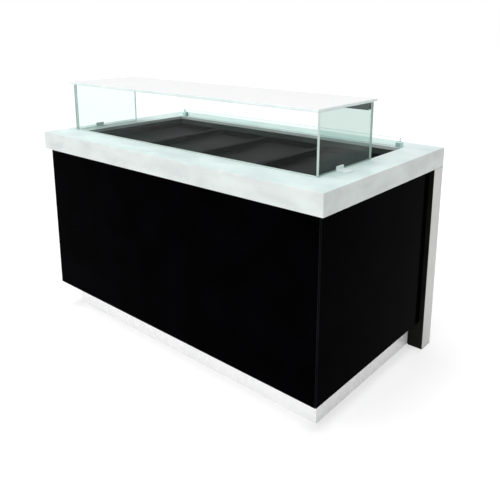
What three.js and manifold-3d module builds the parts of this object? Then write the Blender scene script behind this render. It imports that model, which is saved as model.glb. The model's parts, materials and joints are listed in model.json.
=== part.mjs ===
// Heated food display counter: a stone-look worktop with a heated well in it, a low glass
// case over the front of the well, gloss black cladding and a storage cabinet behind
// sliding doors on the operator's side.
// Millimetres. +Z is up, the customer stands at -Y, the operator at +Y, and the origin is
// on the floor under the middle of the worktop.

import * as THREE from 'three';
import { mergeVertices } from 'three/addons/utils/BufferGeometryUtils.js';
import Module from 'manifold-3d';

const wasm = await Module();
wasm.setup();

// Worktop: a slab with a drop edge all round and a rectangular opening
const worktopLength = 1600;
const worktopDepth = 900;
const worktopHeight = 900;
const slabThickness = 15;
const apronHeight = 80;
const apronThickness = 15;
const worktopCornerRadius = 3;
const arrisRadius = 1.5;
const openingSideMargin = 130;
const openingFrontMargin = 150;
const openingRearMargin = 130;
const openingCornerRadius = 10;

// Clearances
const fitGap = 0.3;
const cutOverrun = 2;

// Steel frame under the slab
const frameChannelWidth = 30;
const frameSheet = 2;
const frameCornerRadius = 3;

// Rear legs
const legWidth = 70;
const legDepth = 85;
const legWall = 3;
const legCornerRadius = 4;
const legFootPlate = 4;
const legFootPlug = 30;
const legFootInset = 1;

// Cladding
const panelInset = 20;
const panelThickness = 20;
const panelBottom = 130;
const panelChamfer = 4;

// Cabinet inside
const boardThickness = 18;
const shelfHeight = 440;
const shelfSheet = 1.5;
const shelfReturn = 35;
const shelfRearSetback = 6;
const dividerRearSetback = 6;

// Plinth and adjustable feet
const plinthFrontInset = 100;
const plinthThickness = 16;
const plinthFloorGap = 2;
const plinthRearSetback = 30;
const footEndInset = 170;
const footFrontInset = 80;
const footRearInset = 92;
const footDiscRadius = 30;
const footDiscHeight = 8;
const footStemRadius = 9;
const footStemHeight = 50;
const footSocketRadius = 21;
const footFlangeRadius = 38;
const footFlangeHeight = 8;

// Heated well
const tubSheet = 1.5;
const tubReveal = 2;
const tubFloorDrop = 58;
const tubFloorRadius = 8;
const deckPlateThickness = 6;
const deckPlateEdge = 14;
const deckPlateGap = 6;
const deckPlateCornerRadius = 12;
const heaterThickness = 3;
const heaterEdge = 30;
const insulationThickness = 30;
const casingSheet = 1.2;
const casingAirGap = 20;
const casingFlange = 14;

// Display trays, the long side front to back
const trayCount = 4;
const trayEndMargin = 14;
const traySideMargin = 45;
const trayGap = 4;
const trayHeight = 25;
const traySheet = 1;
const trayRim = 11;
const trayRimLip = 3;
const trayDraft = 4;
const trayCornerRadius = 22;
const trayFloorRadius = 6;

// Glass case
const glassThickness = 10;
const caseHeight = 230;
const caseLeftMargin = 62;
const caseRightMargin = 120;
const caseFrontMargin = 138;
const casePaneDepth = 362;
const topOverhangLeft = 40;
const topOverhangRear = 30;
const topCornerRadius = 4;
const glassArris = 1;

// Light rail under the rear edge of the glass top
const railDepth = 20;
const railHeight = 30;
const railSheet = 2;
const railCavity = 14;
const railLip = 2;
const railLipHeight = 1.5;
const diffuserThickness = 2;

// Angle brackets at the feet of the side panes
const bracketWidth = 45;
const bracketFoot = 45;
const bracketUpright = 18;
const bracketThickness = 5;
const bracketSetback = 137;

// Low glass guard behind the well
const guardThickness = 8;
const guardHeight = 38;
const clampSideInset = 5;
const clampLength = 25;
const clampDepth = 24;
const clampHeight = 22;
const clampSlotDepth = 18;
const clampEdgeRadius = 2;

// Control fascia on the operator's side
const fasciaHeight = 100;
const fasciaSetback = 28;
const fasciaSheet = 1.5;
const fasciaReturn = 44;
const knobRadius = 20;
const knobSkirtRadius = 24;
const knobSkirtHeight = 3;
const knobHeight = 17;
const knobGripWidth = 9;
const knobGripHeight = 9;
const knobClearance = 1;
const spindleRadius = 3;
const spindleLength = 14;
const neckRadius = 6;
const neckLength = 9;
const neckStandOff = 0.5;
const thermostatWidth = 42;
const thermostatDepth = 24;
const thermostatHeight = 42;
const switchLegInset = 90;
const knobPitch = 100;
const switchPitch = 26;
const switchBezelWidth = 58;
const switchBezelHeight = 36;
const switchBezelThickness = 2.5;
const switchBodyDepth = 26;
const switchBodyInset = 3;
const rockerWidth = 18;
const rockerHeight = 26;
const rockerRadius = 13.3;
const rockerProud = 2.2;
const rockerGap = 0.8;
const rockerTilt = 10;
const rockerPocketDepth = 18;
const terminalBoxWidth = 150;
const terminalBoxHeight = 66;
const terminalBoxDepth = 34;
const terminalBoxOffset = 315;
const terminalBoxWall = 2;
const terminalLidHeight = 6;

// Sliding doors and their tracks
const doorThickness = 16;
const doorSheet = 1.2;
const doorLip = 12;
const doorOverlap = 30;
const laneClearance = 1;
const trackSheet = 2;
const trackSetback = 12;
const bottomTrackRib = 8;
const topTrackRib = 16;
const doorRunGap = 0.6;
const doorLiftGap = 9;
const doorCornerRadius = 3;
const gripWidth = 34;
const gripHeight = 120;
const gripDepth = 9;
const gripEdge = 32;
const gripCornerRadius = 8;

// Supply inlet through the base board
const glandLegInset = 110;
const glandRearInset = 92;
const glandBoreRadius = 6;
const glandThreadRadius = 10;
const glandNutRadius = 14;
const glandNutHeight = 6;
const glandDomeRadius = 12;
const glandDomeHeight = 16;
const glandTaperShare = 0.8;

// Curve steps
const cornerSteps = 4;
const roundSteps = 28;

// Faces and levels that several pieces share
const halfLength = worktopLength / 2;
const frontFace = -worktopDepth / 2;
const rearFace = worktopDepth / 2;
const slabUnderside = worktopHeight - slabThickness;
const apronUnderside = worktopHeight - apronHeight;
const opening = {
  left: -halfLength + openingSideMargin,
  right: halfLength - openingSideMargin,
  front: frontFace + openingFrontMargin,
  rear: rearFace - openingRearMargin,
};
const panelOuterX = halfLength - panelInset;
const panelInnerX = panelOuterX - panelThickness;
const panelFrontY = frontFace + panelInset;
const panelInnerY = panelFrontY + panelThickness;
const legInnerX = halfLength - legWidth;
const legFrontY = rearFace - legDepth;
const cabinetFloor = panelBottom + boardThickness;
const fasciaBottom = apronUnderside - fasciaHeight;
const fasciaRearY = rearFace - fasciaSetback;
const betweenLegs = legInnerX - fitGap;
const flangeUnderside = slabUnderside - fitGap - tubSheet;
const frameTop = flangeUnderside - fitGap;
const tubFloor = worktopHeight - tubFloorDrop;
const deckTop = tubFloor + fitGap + deckPlateThickness;
const caseTop = worktopHeight + caseHeight;
const paneTop = caseTop - glassThickness - fitGap;
const paneBottom = worktopHeight + fitGap;
const leftPaneX = -halfLength + caseLeftMargin;
const rightPaneX = halfLength - caseRightMargin;
const frontPaneY = frontFace + caseFrontMargin;
const paneRearY = frontPaneY + casePaneDepth;
const switchCentreX = -legInnerX + switchLegInset;
const knobCentreX = [switchCentreX + knobPitch, switchCentreX + knobPitch * 2];
const gland = { x: -legInnerX + glandLegInset, y: fasciaRearY - glandRearInset };
const frameOuter = {
  left: -panelInnerX + fitGap,
  right: panelInnerX - fitGap,
  front: panelInnerY + fitGap,
  rear: rearFace - apronThickness - fitGap,
};

// Finishes
function finish(color, roughness, metalness, opacity = 1) {
  return new THREE.MeshStandardMaterial({
    color,
    roughness,
    metalness,
    opacity,
    transparent: opacity < 1,
  });
}

const stone = () => finish(0xe6e8e8, 0.35, 0);
const glossBlack = () => finish(0x050608, 0.12, 0);
const brushedSteel = () => finish(0xb9bbbd, 0.35, 1);
const darkSteel = () => finish(0x2b2d2f, 0.5, 0.6);
const clearGlass = () => finish(0xcfeae4, 0.05, 0, 0.35);
const darkGlass = () => finish(0x0b0c0e, 0.1, 0);
const paleBoard = () => finish(0xd9dadb, 0.5, 0);
const blackPlastic = () => finish(0x151617, 0.5, 0);
const redPlastic = () => finish(0x9b1c14, 0.35, 0);
const opal = () => finish(0xf6f5ee, 0.6, 0);
const rubberMat = () => finish(0x8a3b22, 0.7, 0);
const mineralWool = () => finish(0xc9b98e, 0.95, 0);

// Contours and solids

/** Moves every side of a rectangle outwards by one amount. */
function grow(rect, amount) {
  return {
    left: rect.left - amount,
    right: rect.right + amount,
    front: rect.front - amount,
    rear: rect.rear + amount,
  };
}

/** The points of a rectangle with rounded corners, anticlockwise seen from above. */
function contourPoints({ rect, radius, z }) {
  const corners = [
    [rect.right - radius, rect.front + radius, -Math.PI / 2],
    [rect.right - radius, rect.rear - radius, 0],
    [rect.left + radius, rect.rear - radius, Math.PI / 2],
    [rect.left + radius, rect.front + radius, Math.PI],
  ];
  return corners.flatMap(([x, y, start]) =>
    Array.from({ length: cornerSteps + 1 }, (_, step) => {
      const angle = start + ((Math.PI / 2) * step) / cornerSteps;
      return new THREE.Vector3(x + radius * Math.cos(angle), y + radius * Math.sin(angle), z);
    }),
  );
}

/**
 * Joins contours one to the next into a closed solid. A ring solid joins the last contour
 * to the first; any other solid has its first contour capped below and its last above.
 */
function loft(contours, isRing = false) {
  const rows = contours.map(contourPoints);
  const size = rows[0].length;
  const points = rows.flat();
  const faces = [];
  const joins = isRing ? rows.length : rows.length - 1;
  for (let row = 0; row < joins; row += 1) {
    const low = row * size;
    const high = ((row + 1) % rows.length) * size;
    for (let i = 0; i < size; i += 1) {
      const next = (i + 1) % size;
      faces.push(low + i, low + next, high + next);
      faces.push(low + i, high + next, high + i);
    }
  }
  if (!isRing) {
    addCap(points, faces, 0, size, true);
    addCap(points, faces, (rows.length - 1) * size, size, false);
  }
  return solidFrom(points, faces);
}

/** Closes one end of a loft with a fan about the contour's middle. */
function addCap(points, faces, start, size, facesDown) {
  const middle = new THREE.Vector3();
  for (let i = 0; i < size; i += 1) {
    middle.add(points[start + i]);
  }
  middle.divideScalar(size);
  const hub = points.length;
  points.push(middle);
  for (let i = 0; i < size; i += 1) {
    const here = start + i;
    const next = start + ((i + 1) % size);
    faces.push(...(facesDown ? [hub, next, here] : [hub, here, next]));
  }
}

function solidFrom(points, faces) {
  const numbers = points.flatMap((point) => [point.x, point.y, point.z]);
  const geometry = new THREE.BufferGeometry();
  geometry.setAttribute('position', new THREE.Float32BufferAttribute(numbers, 3));
  geometry.setIndex(faces);
  geometry.computeVertexNormals();
  return geometry;
}

/** A rectangular block between six faces. */
function block(left, right, front, rear, bottom, top) {
  const geometry = new THREE.BoxGeometry(right - left, rear - front, top - bottom);
  return geometry.translate((left + right) / 2, (front + rear) / 2, (bottom + top) / 2);
}

function shapeOf(outline, holes = []) {
  const shape = new THREE.Shape(outline.map(([x, y]) => new THREE.Vector2(x, y)));
  shape.holes.push(...holes);
  return shape;
}

/** A plan outline extruded upwards from one level to another. */
function upright(shape, bottom, top) {
  const geometry = new THREE.ExtrudeGeometry(shape, {
    depth: top - bottom,
    bevelEnabled: false,
    curveSegments: cornerSteps * 2,
  });
  return geometry.translate(0, 0, bottom);
}

/** A section drawn in Y and Z, extruded along X between two ends. */
function alongX(shape, left, right) {
  const geometry = new THREE.ExtrudeGeometry(shape, {
    depth: right - left,
    bevelEnabled: false,
    curveSegments: cornerSteps,
  });
  const turn = new THREE.Matrix4().makeBasis(
    new THREE.Vector3(0, 1, 0),
    new THREE.Vector3(0, 0, 1),
    new THREE.Vector3(1, 0, 0),
  );
  return geometry.applyMatrix4(turn).translate(left, 0, 0);
}

/** A section drawn in X and Z, extruded along Y between two ends. */
function alongY(shape, front, rear) {
  const geometry = new THREE.ExtrudeGeometry(shape, {
    depth: rear - front,
    bevelEnabled: false,
    curveSegments: cornerSteps,
  });
  return geometry.rotateX(Math.PI / 2).translate(0, rear, 0);
}

/** A rectangle with rounded corners as a shape or a hole. */
function roundedOutline(Kind, left, right, low, high, radius) {
  const path = new Kind();
  path.moveTo(left + radius, low);
  path.lineTo(right - radius, low);
  path.absarc(right - radius, low + radius, radius, -Math.PI / 2, 0);
  path.lineTo(right, high - radius);
  path.absarc(right - radius, high - radius, radius, 0, Math.PI / 2);
  path.lineTo(left + radius, high);
  path.absarc(left + radius, high - radius, radius, Math.PI / 2, Math.PI);
  path.lineTo(left, low + radius);
  path.absarc(left + radius, low + radius, radius, Math.PI, Math.PI * 1.5);
  return path;
}

/** A turned solid about the Z axis, from pairs of radius and height that start and end on the axis. */
function turned(profile, steps = roundSteps) {
  return new THREE.LatheGeometry(
    profile.map(([radius, z]) => new THREE.Vector2(radius, z)),
    steps,
  ).rotateX(Math.PI / 2);
}

/** A round bar along Y between two places. */
function barAlongY(radius, x, z, front, rear) {
  const bar = new THREE.CylinderGeometry(radius, radius, rear - front, roundSteps);
  return bar.translate(x, (front + rear) / 2, z);
}

function toManifold(geometry) {
  const bare = geometry.clone();
  bare.deleteAttribute('normal');
  bare.deleteAttribute('uv');
  const merged = mergeVertices(bare);
  return new wasm.Manifold(
    new wasm.Mesh({
      numProp: 3,
      vertProperties: new Float32Array(merged.attributes.position.array),
      triVerts: new Uint32Array(merged.index.array),
    }),
  );
}

function toGeometry(manifold) {
  const mesh = manifold.getMesh();
  const geometry = new THREE.BufferGeometry();
  geometry.setAttribute('position', new THREE.BufferAttribute(new Float32Array(mesh.vertProperties), 3));
  geometry.setIndex(new THREE.BufferAttribute(new Uint32Array(mesh.triVerts), 1));
  geometry.computeVertexNormals();
  return geometry;
}

function cut(geometry, ...cutters) {
  const body = toManifold(geometry);
  return toGeometry(cutters.reduce((solid, cutter) => solid.subtract(toManifold(cutter)), body));
}

function join(geometry, ...others) {
  const body = toManifold(geometry);
  return toGeometry(others.reduce((solid, other) => solid.add(toManifold(other)), body));
}

function piece(name, geometry, material) {
  const mesh = new THREE.Mesh(geometry, material);
  mesh.name = name;
  return mesh;
}

function assembly(...members) {
  const group = new THREE.Group();
  group.add(...members);
  return group;
}

/** The two mirrored places that left and right copies of a piece take. */
const sides = [
  { side: 'left', sign: -1 },
  { side: 'right', sign: 1 },
];

/** A block given by distances from the middle on one side, so that it can be mirrored. */
function sideBlock(sign, inner, outer, front, rear, bottom, top) {
  const ends = [sign * inner, sign * outer];
  return block(Math.min(...ends), Math.max(...ends), front, rear, bottom, top);
}

/** The same polygon on the left or the right, always drawn anticlockwise. */
function sideOutline(sign, points) {
  const mirrored = points.map(([x, y]) => [sign * x, y]);
  return sign > 0 ? mirrored : mirrored.reverse();
}

// Worktop, in one bonded piece: slab and drop edge
function makeWorktop() {
  const outer = { left: -halfLength, right: halfLength, front: frontFace, rear: rearFace };
  const inner = grow(outer, -apronThickness);
  const roundShare = 1 - Math.SQRT1_2;
  const bevel = arrisRadius * roundShare;
  const contours = [
    { rect: outer, radius: worktopCornerRadius, z: apronUnderside },
    { rect: outer, radius: worktopCornerRadius, z: worktopHeight - arrisRadius },
    { rect: grow(outer, -bevel), radius: worktopCornerRadius, z: worktopHeight - bevel },
    { rect: grow(outer, -arrisRadius), radius: worktopCornerRadius, z: worktopHeight },
    { rect: grow(opening, arrisRadius), radius: openingCornerRadius, z: worktopHeight },
    { rect: grow(opening, bevel), radius: openingCornerRadius, z: worktopHeight - bevel },
    { rect: opening, radius: openingCornerRadius, z: worktopHeight - arrisRadius },
    { rect: opening, radius: openingCornerRadius, z: slabUnderside },
    { rect: inner, radius: worktopCornerRadius, z: slabUnderside },
    { rect: inner, radius: worktopCornerRadius, z: apronUnderside },
  ];
  return piece('worktop', loft(contours, true), stone());
}

// Folded channel frame that carries the slab and the well
function makeTopFrame() {
  const low = apronUnderside + fitGap;
  const lip = grow(frameOuter, -frameChannelWidth);
  const web = grow(frameOuter, -frameSheet);
  const radius = frameCornerRadius;
  const contours = [
    { rect: frameOuter, radius, z: low },
    { rect: frameOuter, radius, z: frameTop },
    { rect: lip, radius, z: frameTop },
    { rect: lip, radius, z: frameTop - frameSheet },
    { rect: web, radius, z: frameTop - frameSheet },
    { rect: web, radius, z: low + frameSheet },
    { rect: lip, radius, z: low + frameSheet },
    { rect: lip, radius, z: low },
  ];
  return piece('top_frame', loft(contours, true), brushedSteel());
}

// Square rear legs, each with a plugged foot plate
function makeLeg({ side, sign }) {
  const ends = [sign * legInnerX, sign * halfLength];
  const outer = { left: Math.min(...ends), right: Math.max(...ends), front: legFrontY, rear: rearFace };
  const bore = grow(outer, -legWall);
  const boreRadius = legCornerRadius / 2;
  const top = apronUnderside - fitGap;
  const bottom = legFootPlate + fitGap;
  const tube = loft([
    { rect: bore, radius: boreRadius, z: top - legWall },
    { rect: bore, radius: boreRadius, z: bottom },
    { rect: outer, radius: legCornerRadius, z: bottom },
    { rect: outer, radius: legCornerRadius, z: top },
  ]);
  const plate = grow(outer, -legFootInset);
  const plug = grow(bore, -fitGap);
  const foot = loft([
    { rect: plate, radius: legCornerRadius, z: 0 },
    { rect: plate, radius: legCornerRadius, z: legFootPlate },
    { rect: plug, radius: boreRadius, z: legFootPlate },
    { rect: plug, radius: boreRadius, z: legFootPlate + legFootPlug },
  ]);
  return assembly(
    piece(`rear_leg_${side}`, tube, brushedSteel()),
    piece(`leg_foot_${side}`, foot, blackPlastic()),
  );
}

// Gloss cladding, mitred at the two front corners
function makeCladding() {
  const top = slabUnderside - fitGap;
  const back = panelOuterX - panelThickness;
  const gap = fitGap * Math.SQRT2;
  const half = panelChamfer / 2;
  const frontOutline = [
    [-panelOuterX + panelChamfer + gap, panelFrontY],
    [panelOuterX - panelChamfer - gap, panelFrontY],
    [panelOuterX - half - gap, panelFrontY + half],
    [back - gap, panelInnerY],
    [-back + gap, panelInnerY],
    [-panelOuterX + half + gap, panelFrontY + half],
  ];
  const sideOutlinePoints = [
    [panelOuterX - half, panelFrontY + half],
    [panelOuterX, panelFrontY + panelChamfer],
    [panelOuterX, legFrontY - fitGap],
    [panelInnerX, legFrontY - fitGap],
    [panelInnerX, panelInnerY],
  ];
  return assembly(
    piece('front_panel', upright(shapeOf(frontOutline), panelBottom, top), glossBlack()),
    ...sides.map(({ side, sign }) =>
      piece(
        `${side}_side_panel`,
        upright(shapeOf(sideOutline(sign, sideOutlinePoints)), panelBottom, top),
        glossBlack(),
      ),
    ),
  );
}

// Cabinet boards: base, middle divider and a folded shelf in each bay
function makeCabinet() {
  const wall = panelInnerX - fitGap;
  const front = panelInnerY + fitGap;
  const trackFront = trackFrontY();
  const holeRadius = glandThreadRadius + fitGap;
  const glandHole = new THREE.Path().absarc(gland.x, gland.y, holeRadius, 0, Math.PI * 2, true);
  const outline = [
    [-wall, front],
    [wall, front],
    [wall, legFrontY - fitGap],
    [betweenLegs, legFrontY - fitGap],
    [betweenLegs, fasciaRearY],
    [-betweenLegs, fasciaRearY],
    [-betweenLegs, legFrontY - fitGap],
    [-wall, legFrontY - fitGap],
  ];
  const base = upright(shapeOf(outline, [glandHole]), panelBottom, cabinetFloor);
  const divider = block(
    -boardThickness / 2,
    boardThickness / 2,
    front,
    trackFront - dividerRearSetback,
    cabinetFloor + fitGap,
    casingUnderside() - fitGap,
  );
  return assembly(
    piece('base_board', base, paleBoard()),
    piece('centre_divider', divider, paleBoard()),
    ...sides.map(({ side, sign }) => makeShelf(side, sign, front, legFrontY - shelfRearSetback)),
  );
}

/** A sheet shelf with its ends folded down against the divider and the side panel. */
function makeShelf(side, sign, front, rear) {
  const near = boardThickness / 2 + fitGap;
  const far = panelInnerX - fitGap;
  const low = shelfHeight - shelfReturn;
  const outline = [
    [near, low],
    [near + shelfSheet, low],
    [near + shelfSheet, shelfHeight - shelfSheet],
    [far - shelfSheet, shelfHeight - shelfSheet],
    [far - shelfSheet, low],
    [far, low],
    [far, shelfHeight],
    [near, shelfHeight],
  ];
  return piece(`shelf_${side}`, alongY(shapeOf(sideOutline(sign, outline)), front, rear), brushedSteel());
}

// Plinth boards and the adjustable feet that stand inside them
function makeBase() {
  const outer = legInnerX - fitGap;
  const front = frontFace + plinthFrontInset;
  const rear = fasciaRearY - plinthRearSetback;
  const top = panelBottom - fitGap;
  const low = plinthFloorGap;
  const inner = outer - plinthThickness - fitGap;
  const boards = [
    piece('front_plinth', block(-outer, outer, front, front + plinthThickness, low, top), paleBoard()),
    piece('rear_plinth', block(-inner, inner, rear - plinthThickness, rear, low, top), paleBoard()),
    ...sides.map(({ side, sign }) =>
      piece(
        `${side}_plinth`,
        sideBlock(sign, outer - plinthThickness, outer, front + plinthThickness + fitGap, rear, low, top),
        paleBoard(),
      ),
    ),
  ];
  const places = sides.flatMap(({ side, sign }) => [
    { name: `front_foot_${side}`, x: sign * (legInnerX - footEndInset), y: front + footFrontInset },
    { name: `rear_foot_${side}`, x: sign * (legInnerX - footEndInset), y: rear - footRearInset },
  ]);
  const feet = places.map(({ name, x, y }) => {
    const foot = piece(name, footBody(top), blackPlastic());
    foot.position.set(x, y, 0);
    return foot;
  });
  return assembly(...boards, ...feet);
}

function footBody(top) {
  const profile = [
    [0, 0],
    [footDiscRadius, 0],
    [footDiscRadius, footDiscHeight / 2],
    [footStemRadius, footDiscHeight],
    [footStemRadius, footStemHeight],
    [footSocketRadius, footStemHeight],
    [footSocketRadius + footStemRadius / 2, top - footFlangeHeight],
    [footFlangeRadius, top - footFlangeHeight],
    [footFlangeRadius, top],
    [0, top],
  ];
  return turned(profile, roundSteps / 2);
}

// Heated well: pressed tub, glass deck, heaters, insulation and casing

function casingUnderside() {
  const insulationTop = tubFloor - tubSheet - fitGap - heaterThickness - fitGap;
  return insulationTop - insulationThickness - fitGap - casingSheet;
}

/** A pan pressed from sheet with a flat flange: the outside upwards, then the inside down. */
function pressedPan({ mouth, rim, sheet, floor, top, radius, floorRadius, draft = 0, lip = 0 }) {
  const share = Math.SQRT1_2;
  const knee = floorRadius * (1 - share);
  const foot = grow(mouth, -draft);
  const outerFoot = grow(foot, sheet);
  const outerMouth = grow(mouth, sheet);
  const underside = floor - sheet;
  const tight = Math.max(radius - floorRadius, sheet);
  const lipContours = lip > 0
    ? [
        { rect: grow(rim, -sheet), radius, z: top - sheet },
        { rect: grow(rim, -sheet), radius, z: top - lip },
        { rect: rim, radius: radius + sheet, z: top - lip },
      ]
    : [{ rect: rim, radius, z: top - sheet }];
  return loft([
    { rect: grow(outerFoot, -floorRadius), radius: tight, z: underside },
    { rect: grow(outerFoot, -knee), radius, z: underside + knee },
    { rect: outerFoot, radius: radius + sheet, z: underside + floorRadius },
    { rect: outerMouth, radius: radius + sheet, z: top - sheet },
    ...lipContours,
    { rect: rim, radius: radius + sheet, z: top },
    { rect: mouth, radius, z: top },
    { rect: foot, radius, z: floor + floorRadius },
    { rect: grow(foot, -knee), radius, z: floor + knee },
    { rect: grow(foot, -floorRadius), radius: tight, z: floor },
  ]);
}

function makeWell() {
  const mouth = grow(opening, tubReveal);
  const tub = pressedPan({
    mouth,
    rim: grow(frameOuter, -frameChannelWidth / 2),
    sheet: tubSheet,
    floor: tubFloor,
    top: slabUnderside - fitGap,
    radius: openingCornerRadius,
    floorRadius: tubFloorRadius,
  });
  const heaterTop = tubFloor - tubSheet - fitGap;
  const insulationTop = heaterTop - heaterThickness - fitGap;
  const insulationBottom = insulationTop - insulationThickness;
  const insulation = loft([
    { rect: grow(mouth, -fitGap), radius: openingCornerRadius, z: insulationBottom },
    { rect: grow(mouth, -fitGap), radius: openingCornerRadius, z: insulationTop },
  ]);
  const casingMouth = grow(mouth, tubSheet + casingAirGap);
  const casing = pressedPan({
    mouth: casingMouth,
    rim: grow(casingMouth, casingFlange),
    sheet: casingSheet,
    floor: insulationBottom - fitGap,
    top: flangeUnderside - fitGap,
    radius: openingCornerRadius,
    floorRadius: casingSheet,
  });
  const plates = sides.flatMap(({ side, sign }) => makeDeckZone(side, sign, mouth, heaterTop));
  return assembly(
    piece('well_tub', tub, darkSteel()),
    piece('insulation_board', insulation, mineralWool()),
    piece('well_casing', casing, brushedSteel()),
    ...plates,
  );
}

/** One heating zone: the glass plate in the tub and the heater mat under the tub's floor. */
function makeDeckZone(side, sign, mouth, heaterTop) {
  const near = deckPlateGap / 2;
  const far = mouth.right - deckPlateEdge;
  const plateEnds = [sign * near, sign * far];
  const plate = {
    left: Math.min(...plateEnds),
    right: Math.max(...plateEnds),
    front: mouth.front + deckPlateEdge,
    rear: mouth.rear - deckPlateEdge,
  };
  const mat = grow(plate, -heaterEdge);
  return [
    piece(
      `deck_plate_${side}`,
      loft([
        { rect: plate, radius: deckPlateCornerRadius, z: tubFloor + fitGap },
        { rect: plate, radius: deckPlateCornerRadius, z: deckTop - glassArris },
        { rect: grow(plate, -glassArris), radius: deckPlateCornerRadius, z: deckTop },
      ]),
      darkGlass(),
    ),
    piece(
      `heater_mat_${side}`,
      loft([
        { rect: mat, radius: deckPlateCornerRadius, z: heaterTop - heaterThickness },
        { rect: mat, radius: deckPlateCornerRadius, z: heaterTop },
      ]),
      rubberMat(),
    ),
  ];
}

// Display trays, which lift out of the well
function makeTrays() {
  const rowLength = opening.right - opening.left - trayEndMargin * 2;
  const trayWidth = (rowLength - trayGap * (trayCount - 1)) / trayCount;
  const trayLength = opening.rear - opening.front - traySideMargin * 2;
  const trayPitch = trayWidth + trayGap;
  const middleY = (opening.front + opening.rear) / 2;
  const rimTop = deckTop + fitGap + trayHeight;
  const mouth = {
    left: -trayWidth / 2 + trayRim,
    right: trayWidth / 2 - trayRim,
    front: -trayLength / 2 + trayRim,
    rear: trayLength / 2 - trayRim,
  };
  return Array.from({ length: trayCount }, (_, index) => {
    const tray = piece(
      `display_tray_${index + 1}`,
      pressedPan({
        mouth,
        rim: grow(mouth, trayRim),
        sheet: traySheet,
        floor: traySheet,
        top: trayHeight,
        radius: trayCornerRadius,
        floorRadius: trayFloorRadius,
        draft: trayDraft,
        lip: trayRimLip,
      }),
      darkSteel(),
    );
    tray.position.set((index - (trayCount - 1) / 2) * trayPitch, middleY, rimTop - trayHeight);
    return tray;
  });
}

// Glass case over the front of the well
function makeGlassCase() {
  const paneFront = frontPaneY + glassThickness + fitGap;
  const front = block(leftPaneX, rightPaneX, frontPaneY, frontPaneY + glassThickness, paneBottom, paneTop);
  const left = block(leftPaneX, leftPaneX + glassThickness, paneFront, paneRearY, paneBottom, paneTop);
  const right = block(rightPaneX - glassThickness, rightPaneX, paneFront, paneRearY, paneBottom, paneTop);
  const plate = {
    left: leftPaneX - topOverhangLeft,
    right: rightPaneX,
    front: frontPaneY,
    rear: paneRearY + topOverhangRear,
  };
  const top = loft([
    { rect: grow(plate, -glassArris), radius: topCornerRadius, z: caseTop - glassThickness },
    { rect: plate, radius: topCornerRadius, z: caseTop - glassThickness + glassArris },
    { rect: plate, radius: topCornerRadius, z: caseTop - glassArris },
    { rect: grow(plate, -glassArris), radius: topCornerRadius, z: caseTop },
  ]);
  return assembly(
    piece('front_glass', front, clearGlass()),
    piece('left_glass', left, clearGlass()),
    piece('right_glass', right, clearGlass()),
    piece('top_glass', top, clearGlass()),
    ...makePaneBrackets(),
    ...makeLightRail(),
  );
}

/** Angle brackets that fix the side panes to the worktop, on their outer faces. */
function makePaneBrackets() {
  const bottom = worktopHeight + fitGap;
  const front = frontPaneY + bracketSetback - bracketWidth / 2;
  const section = (x, sign) => {
    const outline = [
      [0, bottom],
      [bracketFoot, bottom],
      [bracketFoot, bottom + bracketThickness / 2],
      [bracketFoot - bracketThickness / 2, bottom + bracketThickness],
      [bracketThickness, bottom + bracketThickness],
      [bracketThickness, bottom + bracketUpright],
      [0, bottom + bracketUpright],
    ];
    return sideOutline(sign, outline).map(([along, z]) => [x + along, z]);
  };
  return [
    { side: 'left', x: leftPaneX - fitGap, sign: -1 },
    { side: 'right', x: rightPaneX + fitGap, sign: 1 },
  ].map(({ side, x, sign }) =>
    piece(
      `pane_bracket_${side}`,
      alongY(shapeOf(section(x, sign)), front, front + bracketWidth),
      brushedSteel(),
    ),
  );
}

/** Extruded light rail, open below, with an opal strip lying on its two lips. */
function makeLightRail() {
  const top = paneTop;
  const bottom = top - railHeight;
  const left = leftPaneX + glassThickness + fitGap;
  const right = rightPaneX - glassThickness - fitGap;
  const rear = paneRearY;
  const front = rear - railDepth;
  const insideFront = front + railSheet;
  const insideRear = rear - railSheet;
  const cavityTop = bottom + railCavity;
  const lipTop = bottom + railLipHeight;
  const outline = [
    [front, bottom],
    [insideFront + railLip, bottom],
    [insideFront + railLip, lipTop],
    [insideFront, lipTop],
    [insideFront, cavityTop],
    [insideRear, cavityTop],
    [insideRear, lipTop],
    [insideRear - railLip, lipTop],
    [insideRear - railLip, bottom],
    [rear, bottom],
    [rear, top],
    [front, top],
  ];
  const strip = block(
    left,
    right,
    insideFront + fitGap,
    insideRear - fitGap,
    lipTop + fitGap,
    lipTop + fitGap + diffuserThickness,
  );
  return [
    piece('light_rail', alongX(shapeOf(outline), left, right), darkSteel()),
    piece('light_diffuser', strip, opal()),
  ];
}

// Low glass guard behind the well, held in a clamp at each end
function makeGuard() {
  const clampInner = opening.right - clampSideInset - clampLength;
  const clampFront = opening.rear + cutOverrun;
  const middleY = clampFront + clampDepth / 2;
  const slotHalf = guardThickness / 2 + fitGap;
  const glassEnd = clampInner + clampSlotDepth - fitGap;
  const bottom = worktopHeight + fitGap;
  const glass = block(
    -glassEnd,
    glassEnd,
    middleY - guardThickness / 2,
    middleY + guardThickness / 2,
    bottom,
    bottom + guardHeight,
  );
  const clamps = sides.map(({ side, sign }) => {
    const ends = [sign * clampInner, sign * (clampInner + clampLength)];
    const rect = {
      left: Math.min(...ends),
      right: Math.max(...ends),
      front: clampFront,
      rear: clampFront + clampDepth,
    };
    const body = loft([
      { rect, radius: clampEdgeRadius, z: bottom },
      { rect, radius: clampEdgeRadius, z: bottom + clampHeight - clampEdgeRadius },
      { rect: grow(rect, -clampEdgeRadius), radius: clampEdgeRadius, z: bottom + clampHeight },
    ]);
    const slot = sideBlock(
      sign,
      clampInner - cutOverrun,
      clampInner + clampSlotDepth,
      middleY - slotHalf,
      middleY + slotHalf,
      bottom - cutOverrun,
      bottom + clampHeight + cutOverrun,
    );
    return piece(`guard_clamp_${side}`, cut(body, slot), brushedSteel());
  });
  return assembly(piece('guard_glass', glass, clearGlass()), ...clamps);
}

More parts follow.
